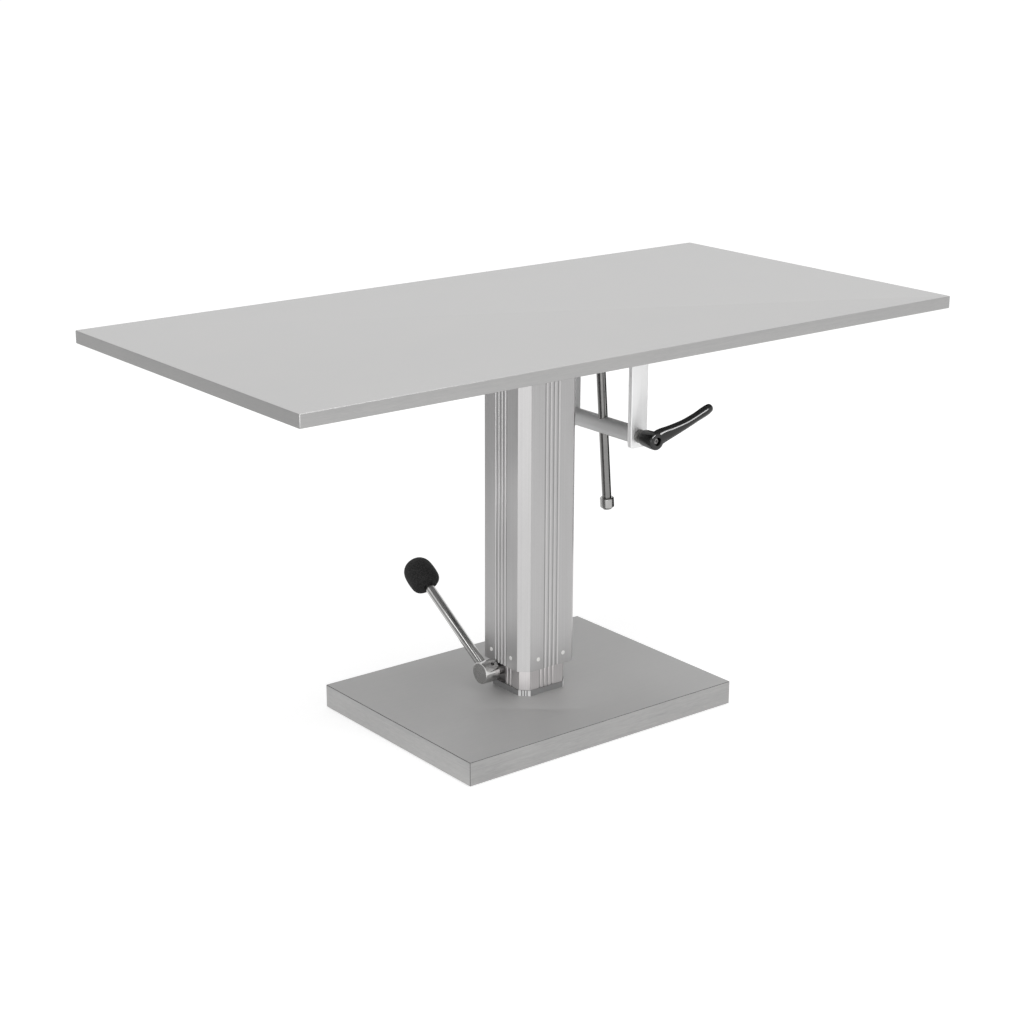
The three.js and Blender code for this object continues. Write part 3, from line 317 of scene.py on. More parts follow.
cover_section = [
    *bend(COVER_EDGE, cover_high.z, -1, JOINT_STEPS),
    (0, cover_low.z),
    (COVER_SHEET, cover_low.z),
    (COVER_SHEET, cover_high.z - COVER_SHEET),
]
cover_size = cover_high - cover_low
bm = folded_sheet(cover_size.x, cover_size.y, COVER_CORNER, cover_section, JOINT_STEPS)
for face in bm.faces:
    x, y, z = [abs(part) for part in face.normal]
    height = face.calc_center_median().z
    at_top = height > cover_high.z - COVER_EDGE * JOINT_SHARE
    upright = height < cover_high.z - COVER_EDGE
    if max(x, y, z) < SLANTED_FACING and (at_top or upright):
        # The bends take the dark joint line, partly painted shade.
        face.material_index = 3
    elif z > FLAT_FACING:
        face.material_index = 0
    else:
        face.material_index = 1 if y > x else 2
# Each face takes its own grey; the long sides' darker grey is painted shade.
cover_finishes = [
    brushed_sheet("cover_top", 182, "x", 4, 0.58, 0.45),
    brushed_sheet("cover_side_long", 165, "x", 12, 0.4),
    brushed_sheet("cover_side_short", 176, "y", 12, 0.4),
    joint_line(),
]
fit(finished("base_cover_sheet", bm), cover_finishes, "base", "stainless_sheet", "base_cover")


# Inner column, bolted up from the plate, with the outer column sliding over it.
# Both are one family of extruded aluminium section, satin anodised, with four scooped grooves
# down each face. The die leaves faint lines along them, and the grooves' roots are painted darker: painted
# shade.

GROOVE_DEPTH = 0.0017
GROOVED_WIDTH = 0.02
GROOVE_FADE = 0.001
ROOT_DEEP = 0.965
ROOT_SHALLOW = 0.94


def painted_groove_shade(paint, side):
    """Where the painted shade goes: one in the roots of the grooves of a square column, none on its flats
    and chamfers.
    """
    x, y = [abs(part) for part in paint.axes(paint.place)[:2]]
    out = paint.maths("MAXIMUM", x, y)
    along = paint.maths("MINIMUM", x, y)
    proud = paint.spread(out, side - GROOVE_DEPTH * ROOT_DEEP, side - GROOVE_DEPTH * ROOT_SHALLOW, 0, 1)
    beside = paint.spread(along, GROOVED_WIDTH - GROOVE_FADE, GROOVED_WIDTH, 0, 1)
    return (1 - proud) * (1 - beside)


def extruded_aluminium(name, level, lines, warm, side, root):
    paint = Paint(name, Metallic=0.68, Specular_IOR_Level=0.45)
    die = paint.noise((620, 620, 2.5), 2)
    etch = paint.noise((1900, 1900, 260), 2)
    cloud = paint.noise((22, 22, 6), 3)
    shade = die * lines + etch * 0.35 + cloud * 0.25
    middle = (lines + 0.6) / 2
    tone = paint.spread(shade, middle - 0.25, middle + 0.25, 0, 1)
    satin = paint.mix(tone, tinted(level - 9, warm), tinted(level + 9, warm))
    # The roots of the grooves take a darker grey, a painted shade.
    paint.colour(painted_groove_shade(paint, side), satin, grey(root))
    paint.feed("Roughness", paint.spread(tone, 0, 1, 0.3, 0.4))
    return paint.relief(die, 0.05, 0.0001)


_, mast_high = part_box("inner_column")
_, sleeve_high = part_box("outer_column")
# The inner section is painted lighter than the outer one: painted light against the shade it stands in.
dress(extruded_aluminium("inner_section", 200, 0.5, 3, mast_high.x, 130), "inner_column")
dress(extruded_aluminium("outer_section", 180, 0.4, 1, sleeve_high.x, 116), "outer_column")


# Foot frame: a moulded grey surround that hides the cut in the cover round the column's foot.
# Its flats are dull, and the ribs on its four corners are painted lighter, a painted highlight.

_, foot_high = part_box("column_foot_frame")
FOOT_CHAMFER = 0.0141
RIB_DEPTH = 0.0006
rib_start = foot_high.x + foot_high.y - FOOT_CHAMFER - RIB_DEPTH


def foot_moulding():
    paint = Paint("foot_moulding", Metallic=0.2)
    x, y = [abs(part) for part in paint.axes(paint.place)[:2]]
    # The ribs on the corners take a lighter grey, a painted highlight.
    rib_highlight = paint.spread(x + y, rib_start - RIB_DEPTH, rib_start, 0, 1)
    grain = paint.noise(900, 3)
    dull = paint.mix(grain, grey(124), grey(138))
    highlight_tone = paint.mix(grain, grey(208), grey(222))
    paint.colour(rib_highlight, dull, highlight_tone)
    paint.rough(grain, 0.45, 0.6)
    return paint.relief(grain, 0.2, 0.0001)


dress(foot_moulding(), "column_foot_frame")


# Glides: white acetal pads between the columns. Two studs of each lower pad are pushed through
# the foot of the outer column and show as round white plugs.


def moulded_acetal():
    paint = Paint("white_acetal", Metallic=0.0, Specular_IOR_Level=0.5)
    cloud = paint.noise(160, 3)
    grain = paint.noise(2600, 2)
    paint.colour(cloud, tinted(228, 2, -4), grey(240))
    paint.rough(grain, 0.36, 0.5)
    return paint.relief(grain, 0.12, 0.00008)


white_acetal = moulded_acetal()
dress(white_acetal, "upper_glide", *[f"lower_glide_{face}" for face in range(1, 5)])


def grouped_tree(name, inputs):
    """A geometry tree with points in, heads out and these named inputs, and its input node."""
    tree = bpy.data.node_groups.new(name, "GeometryNodeTree")
    tree.interface.new_socket("Points", in_out="INPUT", socket_type="NodeSocketGeometry")
    for label, kind in inputs.items():
        tree.interface.new_socket(label, in_out="INPUT", socket_type=f"NodeSocket{kind}")
    tree.interface.new_socket("Heads", in_out="OUTPUT", socket_type="NodeSocketGeometry")
    return tree, tree.nodes.new("NodeGroupInput").outputs


def plugged(tree, socket, value):
    """Links a socket to another, or sets its value."""
    if isinstance(value, bpy.types.NodeSocket):
        tree.links.new(value, socket)
    else:
        socket.default_value = value


def tree_node(tree, kind, settings=None, **inputs):
    """Adds a node and gives its first output. In an input's name, _ stands for a space."""
    node = tree.nodes.new(kind)
    for name, value in (settings or {}).items():
        setattr(node, name, value)
    for key, value in inputs.items():
        socket = next(plug for plug in node.inputs if plug.name.replace(" ", "_") == key and plug.enabled)
        plugged(tree, socket, value)
    return node.outputs[0]


def tree_maths(tree, operation, first, second):
    """Adds a Math node on two values or sockets."""
    answer = tree_node(tree, "ShaderNodeMath", {"operation": operation})
    plugged(tree, answer.node.inputs[0], first)
    plugged(tree, answer.node.inputs[1], second)
    return answer


def set_on_points(tree, source, shape):
    """Ends a tree: the shape on each point along its facing, made real and given its finish."""
    facing = tree_node(tree, "GeometryNodeInputNamedAttribute", {"data_type": "FLOAT_VECTOR"}, Name="facing")
    turn = tree_node(tree, "FunctionNodeAlignRotationToVector", {"axis": "Z"}, Vector=facing)
    placed = tree_node(
        tree, "GeometryNodeInstanceOnPoints", Points=source["Points"], Instance=shape, Rotation=turn,
    )
    real = tree_node(tree, "GeometryNodeRealizeInstances", Geometry=placed)
    coloured = tree_node(tree, "GeometryNodeSetMaterial", Geometry=real, Material=source["Finish"])
    tree.links.new(coloured, tree.nodes.new("NodeGroupOutput").inputs["Heads"])


def stud_tree():
    """Low domed plugs, one on each point along its facing."""
    tree, source = grouped_tree("stud_plugs", {"Radius": "Float", "Rise": "Float", "Finish": "Material"})
    ball = tree_node(tree, "GeometryNodeMeshUVSphere", Segments=28, Rings=12, Radius=source["Radius"])
    share = tree_maths(tree, "DIVIDE", source["Rise"], source["Radius"])
    flat = tree_node(tree, "ShaderNodeCombineXYZ", X=1.0, Y=1.0, Z=share)
    dome = tree_node(tree, "GeometryNodeTransform", Geometry=ball, Scale=flat)
    smooth = tree_node(tree, "GeometryNodeSetShadeSmooth", Geometry=dome)
    set_on_points(tree, source, smooth)
    return tree


def applied(piece, modifier):
    """Gives a piece the plain mesh that its modifier makes."""
    graph = bpy.context.evaluated_depsgraph_get()
    made = bpy.data.meshes.new_from_object(piece.evaluated_get(graph))
    piece.modifiers.remove(modifier)
    piece.data = made


def planted(name, tree, spots, values):
    """An object of what a tree makes of points with facings."""
    mesh = bpy.data.meshes.new(f"{name}_points")
    mesh.from_pydata([place for place, _ in spots], [], [])
    facing = mesh.attributes.new("facing", "FLOAT_VECTOR", "POINT")
    facing.data.foreach_set("vector", [part for _, way in spots for part in way])
    points = linked(name, mesh)
    modifier = points.modifiers.new("heads", "NODES")
    modifier.node_group = tree
    for item in tree.interface.items_tree:
        if item.name in values:
            modifier[item.identifier] = values[item.name]
    applied(points, modifier)
    return points


STUD_RADIUS = 0.0037
STUD_RISE = 0.0009
STUD_SPREAD = 0.0267
STUD_HEIGHT = 0.110
stud_spots = []
for quarter in range(4):
    out = Matrix.Rotation(math.pi / 2 * quarter, 3, "Z") @ Vector((1, 0, 0))
    across = Vector((-out.y, out.x, 0))
    for side in (-1, 1):
        place = out * sleeve_high.x + across * STUD_SPREAD * side + Vector((0, 0, STUD_HEIGHT))
        stud_spots.append((place, out))
stud_sizes = {"Radius": STUD_RADIUS, "Rise": STUD_RISE, "Finish": white_acetal}
fit(planted("glide_stud_plugs", stud_tree(), stud_spots, stud_sizes), [], "lift", "white_plastic")


# Hydraulic lift inside the column: pump block, barrel, gland, piston and rod, with the crank and
# its spring. Oiled and painted steel that shows only when the column is opened.


def satin_paint():
    paint = Paint("dark_paint", Metallic=0.0, Coat_Weight=0.15)
    peel = paint.noise(420, 2)
    cloud = paint.noise(12, 4)
    paint.colour(cloud, grey(78), grey(92))
    paint.rough(peel, 0.38, 0.52)
    return paint.relief(peel, 0.25, 0.00025)


def sintered_bronze():
    paint = Paint("sintered_bronze", Metallic=1.0)
    pores = paint.noise(2200, 3)
    paint.colour(pores, (0.2, 0.125, 0.05), (0.42, 0.28, 0.12))
    paint.rough(pores, 0.35, 0.55)
    return paint.relief(pores, 0.3, 0.0001)


dark_paint = satin_paint()
dress(dark_paint, "pump_block")
dress(plain_steel, "ram_barrel", "ram_gland", "ram_piston", "crank_arm")
dress(plain_steel, "axle_bearing_plate", "pump_axle", "axle_bush")
dress(sintered_bronze(), "inner_bush")
blackened_steel = oiled_steel("blackened_steel", 96)
dress(blackened_steel, "plunger_spring")


# Foot lever: a polished steel rod in a turned hub on the pump axle.
# The hub's end face still shows the rings of the lathe tool, and a grub screw locks the hub.

NEARLY_UPRIGHT = 0.1
EASED_SHARE = 0.45
SAME_PLACE = 1e-7
RING_SCALE = 3200


def frame_along(axis):
    """An axis of unit length and two directions square to it and to each other."""
    axis = Vector(axis).normalized()
    side = axis.cross(Vector((0, 0, 1)))
    if side.length < NEARLY_UPRIGHT:
        side = axis.cross(Vector((1, 0, 0)))
    side.normalize()
    return axis, side, axis.cross(side)


def eased(profile, radius, steps=4):
    """A profile of (radius, height) points with its inner corners rounded off."""
    points = [Vector(point) for point in profile]
    out = [points[0]]
    for before, here, after in zip(points, points[1:], points[2:]):
        reach = min(radius, EASED_SHARE * min((before - here).length, (after - here).length))
        start = here + (before - here).normalized() * reach
        end = here + (after - here).normalized() * reach
        for step in range(steps + 1):
            share = step / steps
            out.append(start.lerp(here, share).lerp(here.lerp(end, share), share))
    return out + [points[-1]]


def turned(name, profile, start, axis, sides=64, smooth_angle=25):
    """A profile of (radius, height) points turned about an axis through start."""
    axis, side, up = frame_along(axis)
    start = Vector(start)
    bm = bmesh.new()
    rings = []
    for radius, height in profile:
        centre = start + axis * height
        if radius < SAME_PLACE:
            rings.append([bm.verts.new(centre)])
            continue
        angles = [2 * math.pi * step / sides for step in range(sides)]
        ways = [side * math.cos(angle) + up * math.sin(angle) for angle in angles]
        rings.append([bm.verts.new(centre + radius * way) for way in ways])
    for first, second in zip(rings, rings[1:]):
        for here in range(sides):
            after = (here + 1) % sides
            corners = [first[here % len(first)], first[after % len(first)]]
            corners += [second[after % len(second)], second[here % len(second)]]
            corners = list(dict.fromkeys(corners))
            if len(corners) > 2:
                bm.faces.new(corners)
    bmesh.ops.remove_doubles(bm, verts=bm.verts, dist=SAME_PLACE)
    return finished(name, bm, smooth_angle)


def cut(piece, tool, operation="DIFFERENCE"):
    """Cuts the tool out of a piece, or joins it on, and leaves a plain mesh."""
    modifier = piece.modifiers.new("cut", "BOOLEAN")
    modifier.operation = operation
    modifier.solver = "EXACT"
    modifier.object = tool
    applied(piece, modifier)
    bpy.data.objects.remove(tool)
    smoothed(piece.data, 30)


def bar(radius, low, high):
    """The profile of a plain round bar."""
    return [(0, low), (radius, low), (radius, high), (0, high)]


def like_ends(half, length):
    """A profile with two like ends, from the points of its first half."""
    return half + [(radius, length - height) for radius, height in reversed(half)]


def bored(piece, radius, low, high, start, axis, sides):
    """Bores a hole on an axis through start. Six sides make a socket for a key."""
    cut(piece, turned("drill", bar(radius, low, high), start, axis, sides))


def polished_steel(name, level, centre, axis, roughness, groove=0.12):
    """Turned steel: fine rings round its axis and a little cloudiness."""
    paint = Paint(name, Metallic=1.0)
    axis, side, up = frame_along(axis)
    turn = Matrix((side, up, axis)).to_euler()
    shift = [-part for part in centre]
    moved = paint.node("ShaderNodeMapping", {}, {"Vector": paint.place, "Location": shift})
    x, y, along = paint.axes(paint.node("ShaderNodeMapping", {}, {"Vector": moved, "Rotation": turn}))
    reach = paint.maths("SQRT", x * x + y * y)
    rings = paint.node("ShaderNodeCombineXYZ", {}, {"X": reach * RING_SCALE, "Y": along * RING_SCALE})
    grooves = paint.node("ShaderNodeTexNoise", {}, {"Vector": rings, "Scale": 1.0, "Detail": 2.0})
    cloud = paint.noise(60, 3)
    tone = grooves * 0.6 + cloud * 0.4
    paint.colour(tone, grey(level - 16), tinted(level + 16, 1, -2))
    paint.rough(tone, roughness - 0.05, roughness + 0.06)
    return paint.relief(grooves, groove, 0.00008)


def joint_vector(name, part):
    """The place or the axis of one of the frame's joints."""
    return Vector(next(joint[part] for joint in frame["joints"] if joint["name"] == name))


hub_low, hub_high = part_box("lever_hub")
pump_pivot = joint_vector("pump_lever", "pos_m")
lever_start = Vector(((hub_low.x + hub_high.x) / 2, pump_pivot.y, pump_pivot.z))
LEVER_ANGLE = math.radians(32.7)
lever_way = Vector((0, math.cos(LEVER_ANGLE), math.sin(LEVER_ANGLE)))
LEVER_RADIUS = 0.0085
LEVER_ROOT = 0.009
LEVER_LENGTH = 0.215
LEVER_ROUND = 0.0008
HUB_RADIUS = 0.019
HUB_EDGE = 0.0011
HUB_ROUND = 0.0006
HUB_LENGTH = hub_high.x - hub_low.x
GRUB_HOLE = 0.0033
GRUB_HOLE_FLOOR = 0.009
GRUB_RADIUS = 0.003
GRUB_FOOT = 0.0086
GRUB_TOP = 0.0155
GRUB_ROUND = 0.0004
GRUB_KEY = 0.0016
GRUB_KEY_DEPTH = 0.003
GRUB_TURN = math.radians(33)
GRUB_INSET = 0.0103
DRILL_PAST = 0.05

hub_profile = like_ends([(0, 0), (HUB_RADIUS - HUB_EDGE, 0), (HUB_RADIUS, HUB_EDGE)], HUB_LENGTH)
hub_start = (hub_low.x, pump_pivot.y, pump_pivot.z)
turned_hub = turned("turned_hub", eased(hub_profile, HUB_ROUND), hub_start, (1, 0, 0), 96)
grub_way = Vector((0, -math.sin(GRUB_TURN), math.cos(GRUB_TURN)))
grub_start = Vector((hub_high.x - GRUB_INSET, pump_pivot.y, pump_pivot.z))
bored(turned_hub, GRUB_HOLE, GRUB_HOLE_FLOOR, HUB_RADIUS + DRILL_PAST, grub_start, grub_way, 40)
for face in turned_hub.data.polygons:
    face.material_index = 1 if abs(face.normal.x) > FLAT_FACING else 0
hub_finishes = [
    polished_steel("hub_side_steel", 190, hub_start, (1, 0, 0), 0.12),
    polished_steel("hub_end_steel", 182, hub_start, (1, 0, 0), 0.25, 0.6),
]
fit(turned_hub, hub_finishes, "lever", "polished_steel", "lever_hub")

grub_profile = eased(bar(GRUB_RADIUS, GRUB_FOOT, GRUB_TOP), GRUB_ROUND)
grub_screw = turned("grub_screw", grub_profile, grub_start, grub_way, 40)
bored(grub_screw, GRUB_KEY, GRUB_TOP - GRUB_KEY_DEPTH, GRUB_TOP + DRILL_PAST, grub_start, grub_way, 6)
fit(grub_screw, [blackened_steel], "lever", "dark_steel", "hub_set_screw")

lever_profile = eased(bar(LEVER_RADIUS, LEVER_ROOT, LEVER_LENGTH), LEVER_ROUND)
polished_rod = turned("polished_rod", lever_profile, lever_start, lever_way)
rod_steel = polished_steel("rod_steel", 188, lever_start, lever_way, 0.14)
fit(polished_rod, [rod_steel], "lever", "polished_steel", "lever_rod")


# Lever knob: a foot knob of black cellular rubber pushed over the end of the rod.
# It is a blunt barrel with a full round end, dull and finely pitted.


def smooth_curve(points, steps):
    """A smooth curve through points of any size."""
    points = [Vector(point) for point in points]
    padded = [points[0] * 2 - points[1], *points, points[-1] * 2 - points[-2]]
    out = []
    for before, start, end, after in zip(padded, padded[1:], padded[2:], padded[3:]):
        curl = before * 2 - start * 5 + end * 4 - after
        swing = start * 3 - before - end * 3 + after
        for step in range(steps):
            share = step / steps
            swung = swing * share * share * share
            out.append((start * 2 + (end - before) * share + curl * share * share + swung) / 2)
    return out + [points[-1]]


def cellular_rubber():
    paint = Paint("cellular_rubber", Metallic=0.0, Specular_IOR_Level=0.3)
    cells = paint.noise(640, 3)
    pits = paint.noise(1500, 2)
    speckle = paint.spread(cells * 0.7 + pits * 0.3, 0.42, 0.64, 0, 1)
    paint.colour(speckle, grey(8), grey(62))
    paint.feed("Roughness", paint.spread(speckle, 0, 1, 0.7, 0.9))
    return paint.relief(cells + pits, 0.6, 0.0007)


KNOB_START = 0.1992
KNOB_LENGTH = 0.0565
KNOB_RADIUS = 0.027
KNOB_NECK = 0.0087
knob_shares = [
    (0.68, 0.006), (0.84, 0.04), (0.93, 0.1), (0.975, 0.18), (1, 0.34), (0.99, 0.52),
    (0.945, 0.68), (0.84, 0.81), (0.64, 0.92), (0.36, 0.98), (0, 1.0),
]
knob_outline = [(KNOB_NECK, KNOB_START)]
knob_outline += [(KNOB_RADIUS * wide, KNOB_START + along * KNOB_LENGTH) for wide, along in knob_shares]
knob_profile = [(0, LEVER_LENGTH), (KNOB_NECK, LEVER_LENGTH)]
knob_profile += [(max(point.x, 0), point.y) for point in smooth_curve(knob_outline, 8)]
foot_knob = turned("foot_knob", knob_profile, lever_start, lever_way, 72, 50)
fit(foot_knob, [cellular_rubber()], "lever", "black_rubber", "lever_knob")


# Pump plunger and lift piston rod: round steel bars, hardened, ground and polished.
# They slide in the seals of the pump block and the gland, inside the column.

dress(polished_steel("ground_rod", 170, (0, 0, 0), (0, 0, 1), 0.15), "piston_rod", "pump_plunger")


# Head frame: a plate screwed to the ports of the outer column, with two rails on it that carry
# the hinge and the rubber buffers on which the level top rests. Painted dark, out of sight.

dress(dark_paint, "head_plate", "side_rail_near", "side_rail_far")
dress(pad_rubber, "rest_buffer_near", "rest_buffer_far")
FOOT_SHARE = 0.55
CROWN_SHARE = 0.72


def screw_tree():
    """Button-headed screws with a hexagon socket, one on each point along its facing."""
    tree, source = grouped_tree("button_screws", {
        "Head Radius": "Float", "Head Height": "Float", "Socket Radius": "Float", "Finish": "Material",
    })

    def share(value, part):
        return tree_maths(tree, "MULTIPLY", value, part)

    def lifted(mesh, height):
        shift = tree_node(tree, "ShaderNodeCombineXYZ", Z=height)
        return tree_node(tree, "GeometryNodeTransform", Geometry=mesh, Translation=shift)

    height = source["Head Height"]
    radius = source["Head Radius"]
    foot = tree_node(
        tree, "GeometryNodeMeshCylinder", Vertices=32, Radius=radius, Depth=share(height, FOOT_SHARE),
    )
    crown = tree_node(
        tree, "GeometryNodeMeshCone", Vertices=32, Radius_Bottom=radius,
        Radius_Top=share(radius, CROWN_SHARE), Depth=share(height, 1 - FOOT_SHARE),
    )
    key = tree_node(
        tree, "GeometryNodeMeshCylinder", Vertices=6, Radius=source["Socket Radius"], Depth=height,
    )
    parts = tree_node(tree, "GeometryNodeJoinGeometry")
    tree.links.new(lifted(foot, share(height, FOOT_SHARE / 2)), parts.node.inputs[0])
    tree.links.new(lifted(crown, share(height, FOOT_SHARE)), parts.node.inputs[0])
    welded = tree_node(tree, "GeometryNodeMergeByDistance", Geometry=parts, Distance=0.00001)
    sunk = tree_node(
        tree, "GeometryNodeMeshBoolean", {"operation": "DIFFERENCE"},
        Mesh_1=welded, Mesh_2=lifted(key, height),
    )
    set_on_points(tree, source, sunk)
    return tree


button_screws = screw_tree()


def screws(name, body, spots, radius):
    """A set of button screws of one size on one body."""
    values = {
        "Head Radius": radius,
        "Head Height": radius * 0.62,
        "Socket Radius": radius * 0.5,
        "Finish": blackened_steel,
    }
    fit(planted(name, button_screws, spots, values), [], body, "dark_steel")


head_low, head_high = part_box("head_plate")
PORT_REACH = 0.0466
RAIL_SCREW_X = 0.09
PLATE_SCREW = 0.007
rail_low, rail_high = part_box("side_rail_far")
rail_y = (rail_low.y + rail_high.y) / 2
up = Vector((0, 0, 1))
corners = [(x, y) for x in (-1, 1) for y in (-1, 1)]
plate_spots = [(Vector((x * PORT_REACH, y * PORT_REACH, head_high.z)), up) for x, y in corners]
plate_spots += [(Vector((x * RAIL_SCREW_X, y * rail_y, head_low.z)), -up) for x, y in corners]
screws("head_plate_screws", "lift", plate_spots, PLATE_SCREW)


# Hinge axle: a turned steel pin through both rails and both lugs.
# It is pushed in from one side and its two ends are riveted over into flat heads.

axle_low, axle_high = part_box("hinge_axle")
HINGE_RADIUS = 0.008
HINGE_HEAD = 0.004
HINGE_ROUND = 0.0012
head_radius = (axle_high.z - axle_low.z) / 2
axle_length = axle_high.y - axle_low.y
axle_centre = (axle_low + axle_high) / 2
axle_head = [(0, 0), (head_radius, 0), (head_radius, HINGE_HEAD), (HINGE_RADIUS, HINGE_HEAD)]
axle_profile = like_ends(axle_head, axle_length)
axle_start = (axle_centre.x, axle_low.y, axle_centre.z)
hinge_pin = turned("hinge_pin", eased(axle_profile, HINGE_ROUND), axle_start, (0, 1, 0))
axle_steel = polished_steel("axle_steel", 150, axle_start, (0, 1, 0), 0.3)
fit(hinge_pin, [axle_steel], "lift", "bare_steel", "hinge_axle")


# Table top: stainless sheet folded down over the edges of a board and turned in below it.
# Its face is finished to an even dull sheen, and its edges are brushed lengthwise.
# The edges are painted darker than the face, the short ones most: painted shade of how the light falls.

sheet_low, sheet_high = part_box("top_sheet")
TOP_SHEET = 0.0015
TOP_RETURN = 0.015
TOP_CORNER = 0.003
TOP_CORNER_STEPS = 6
TOP_BEND = 0.0018
BEND_STEPS = 5
top_section = [
    *bend(TOP_BEND, sheet_high.z, -1, BEND_STEPS),
    *reversed(bend(TOP_SHEET, sheet_low.z, 1, BEND_STEPS)),
    (TOP_RETURN, sheet_low.z),
    (TOP_RETURN, sheet_low.z + TOP_SHEET),
    (TOP_SHEET, sheet_low.z + TOP_SHEET),
    (TOP_SHEET, sheet_high.z - TOP_SHEET),
]
sheet_size = sheet_high - sheet_low
bm = folded_sheet(sheet_size.x, sheet_size.y, TOP_CORNER, top_section, TOP_CORNER_STEPS)
for face in bm.faces:
    x, y, z = [abs(part) for part in face.normal]
    face.material_index = 0 if z > FLAT_FACING else (1 if y > x else 2)
# The long and short edges take darker greys than the face, a painted shade.
top_finishes = [
    brushed_sheet("top_face", 188, "x", 3, 0.42),
    brushed_sheet("top_edge_long", 171, "x", 6, 0.4),
    brushed_sheet("top_edge_short", 150, "y", 6, 0.4),
]
fit(finished("folded_top", bm, 40), top_finishes, "top", "stainless_sheet", "top_sheet")


# Board inside the top: pressed wood faced with pale laminate, seen from below between the
# turned-in edges of the sheet. The laminate has a fine pearl texture.


def pearl_laminate():
    paint = Paint("pearl_laminate", Metallic=0.0, Specular_IOR_Level=0.4)
    pearl = paint.noise(480, 2)
    fleck = paint.noise(1600, 2)
    cloud = paint.noise(5, 3)
    paint.colour(fleck * 0.6 + cloud * 0.4, grey(196), grey(214))
    paint.rough(pearl, 0.45, 0.6)
    return paint.relief(pearl, 0.25, 0.0002)


dress(pearl_laminate(), "top_board")


# Hinge lugs and rod clevis: brackets folded and welded from steel strip and painted dark.
# Each is screwed up into the board through its flange, and a plain pin crosses the clevis.

dress(dark_paint, "hinge_lug_near", "hinge_lug_far", "rod_clevis")
dress(plain_steel, "clevis_pin")
LUG_SCREW_X = 0.028
LUG_SCREW_INSET = 0.011
CLEVIS_SCREW_X = 0.024
CLEVIS_SCREW_Y = 0.031
BRACKET_FLANGE = 0.006
BRACKET_SCREW = 0.005
lug_low, lug_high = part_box("hinge_lug_far")
clevis_low, clevis_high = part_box("rod_clevis")
bracket_spots = []
for low, high, reach_x, reach_y in (
    (lug_low, lug_high, LUG_SCREW_X, lug_low.y + LUG_SCREW_INSET),
    (clevis_low, clevis_high, CLEVIS_SCREW_X, CLEVIS_SCREW_Y),
):
    flange = Vector(((low.x + high.x) / 2, 0, high.z - BRACKET_FLANGE))
    bracket_spots += [(flange + Vector((x * reach_x, y * reach_y, 0)), -up) for x, y in corners]
screws("bracket_screws", "top", bracket_spots, BRACKET_SCREW)


# Clamp legs: two flat aluminium bars screwed to the outside of the rails, rounded off below.
# They are linished bright, with softened edges.

SHARP_EDGE = math.radians(60)


def softened(bm, edge, segments):
    """Rounds the sharp edges of a shape."""
    rims = [line for line in bm.edges if line.calc_face_angle(0) > SHARP_EDGE]
    bmesh.ops.bevel(bm, geom=rims, offset=edge, segments=segments, affect="EDGES", profile=0.5)


def slab(outline, low, high, edge):
    """An outline of (x, z) points carried along Y, with its edges softened."""
    bm = bmesh.new()
    near = [bm.verts.new((x, low, z)) for x, z in outline]
    bm.faces.new(near)
    made = bmesh.ops.extrude_face_region(bm, geom=bm.faces[:])
    moved = [part for part in made["geom"] if isinstance(part, bmesh.types.BMVert)]
    bmesh.ops.translate(bm, verts=moved, vec=(0, high - low, 0))
    bmesh.ops.recalc_face_normals(bm, faces=bm.faces)
    softened(bm, edge, 3)
    return bm


def linished_aluminium(name, level, stretch, metal):
    paint = Paint(name, Metallic=metal, Specular_IOR_Level=0.45)
    grain = paint.noise(stretch, 3)
    cloud = paint.noise(30, 3)
    tone = grain * 0.65 + cloud * 0.35
    paint.colour(tone, grey(level - 9), grey(level + 9))
    paint.rough(tone, 0.5, 0.62)
    return paint.relief(grain, 0.12, 0.0001)


LEG_CORNER = 0.005
LEG_CORNER_STEPS = 6
LEG_EDGE = 0.0012
LEG_SCREW_SPREAD = 0.009
LEG_SCREW = 0.0055
leg_finish = linished_aluminium("leg_finish", 250, (1100, 1100, 14), 0.8)
for name, side in (("near", -1), ("far", 1)):
    leg_low, leg_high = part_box(f"clamp_leg_{name}")
    outline = [(leg_low.x, leg_high.z)]
    for centre_x, half_turns in ((leg_low.x + LEG_CORNER, 1), (leg_high.x - LEG_CORNER, 1.5)):
        for step in range(LEG_CORNER_STEPS + 1):
            angle = math.pi * (half_turns + step / LEG_CORNER_STEPS / 2)
            height = leg_low.z + LEG_CORNER * (1 + math.sin(angle))
            outline.append((centre_x + LEG_CORNER * math.cos(angle), height))
    outline.append((leg_high.x, leg_high.z))
    leg = finished(f"linished_leg_{name}", slab(outline, leg_low.y, leg_high.y, LEG_EDGE), 40)
    fit(leg, [leg_finish], "lift", "clamp_aluminium", f"clamp_leg_{name}")
    leg_middle = (leg_low.x + leg_high.x) / 2
    face_y = leg_high.y if side > 0 else leg_low.y
    across = [leg_middle + x * LEG_SCREW_SPREAD for x in (-1, 1)]
    leg_spots = [(Vector((x, face_y, axle_centre.z)), Vector((0, side, 0))) for x in across]
    screws(f"leg_screws_{name}", "lift", leg_spots, LEG_SCREW)


# Cross bar: a round aluminium bar with a journal turned at each end, which swivels in the legs.
# It is drilled across for the rod and along its near end for the clamp screw; these holes are not cut here.

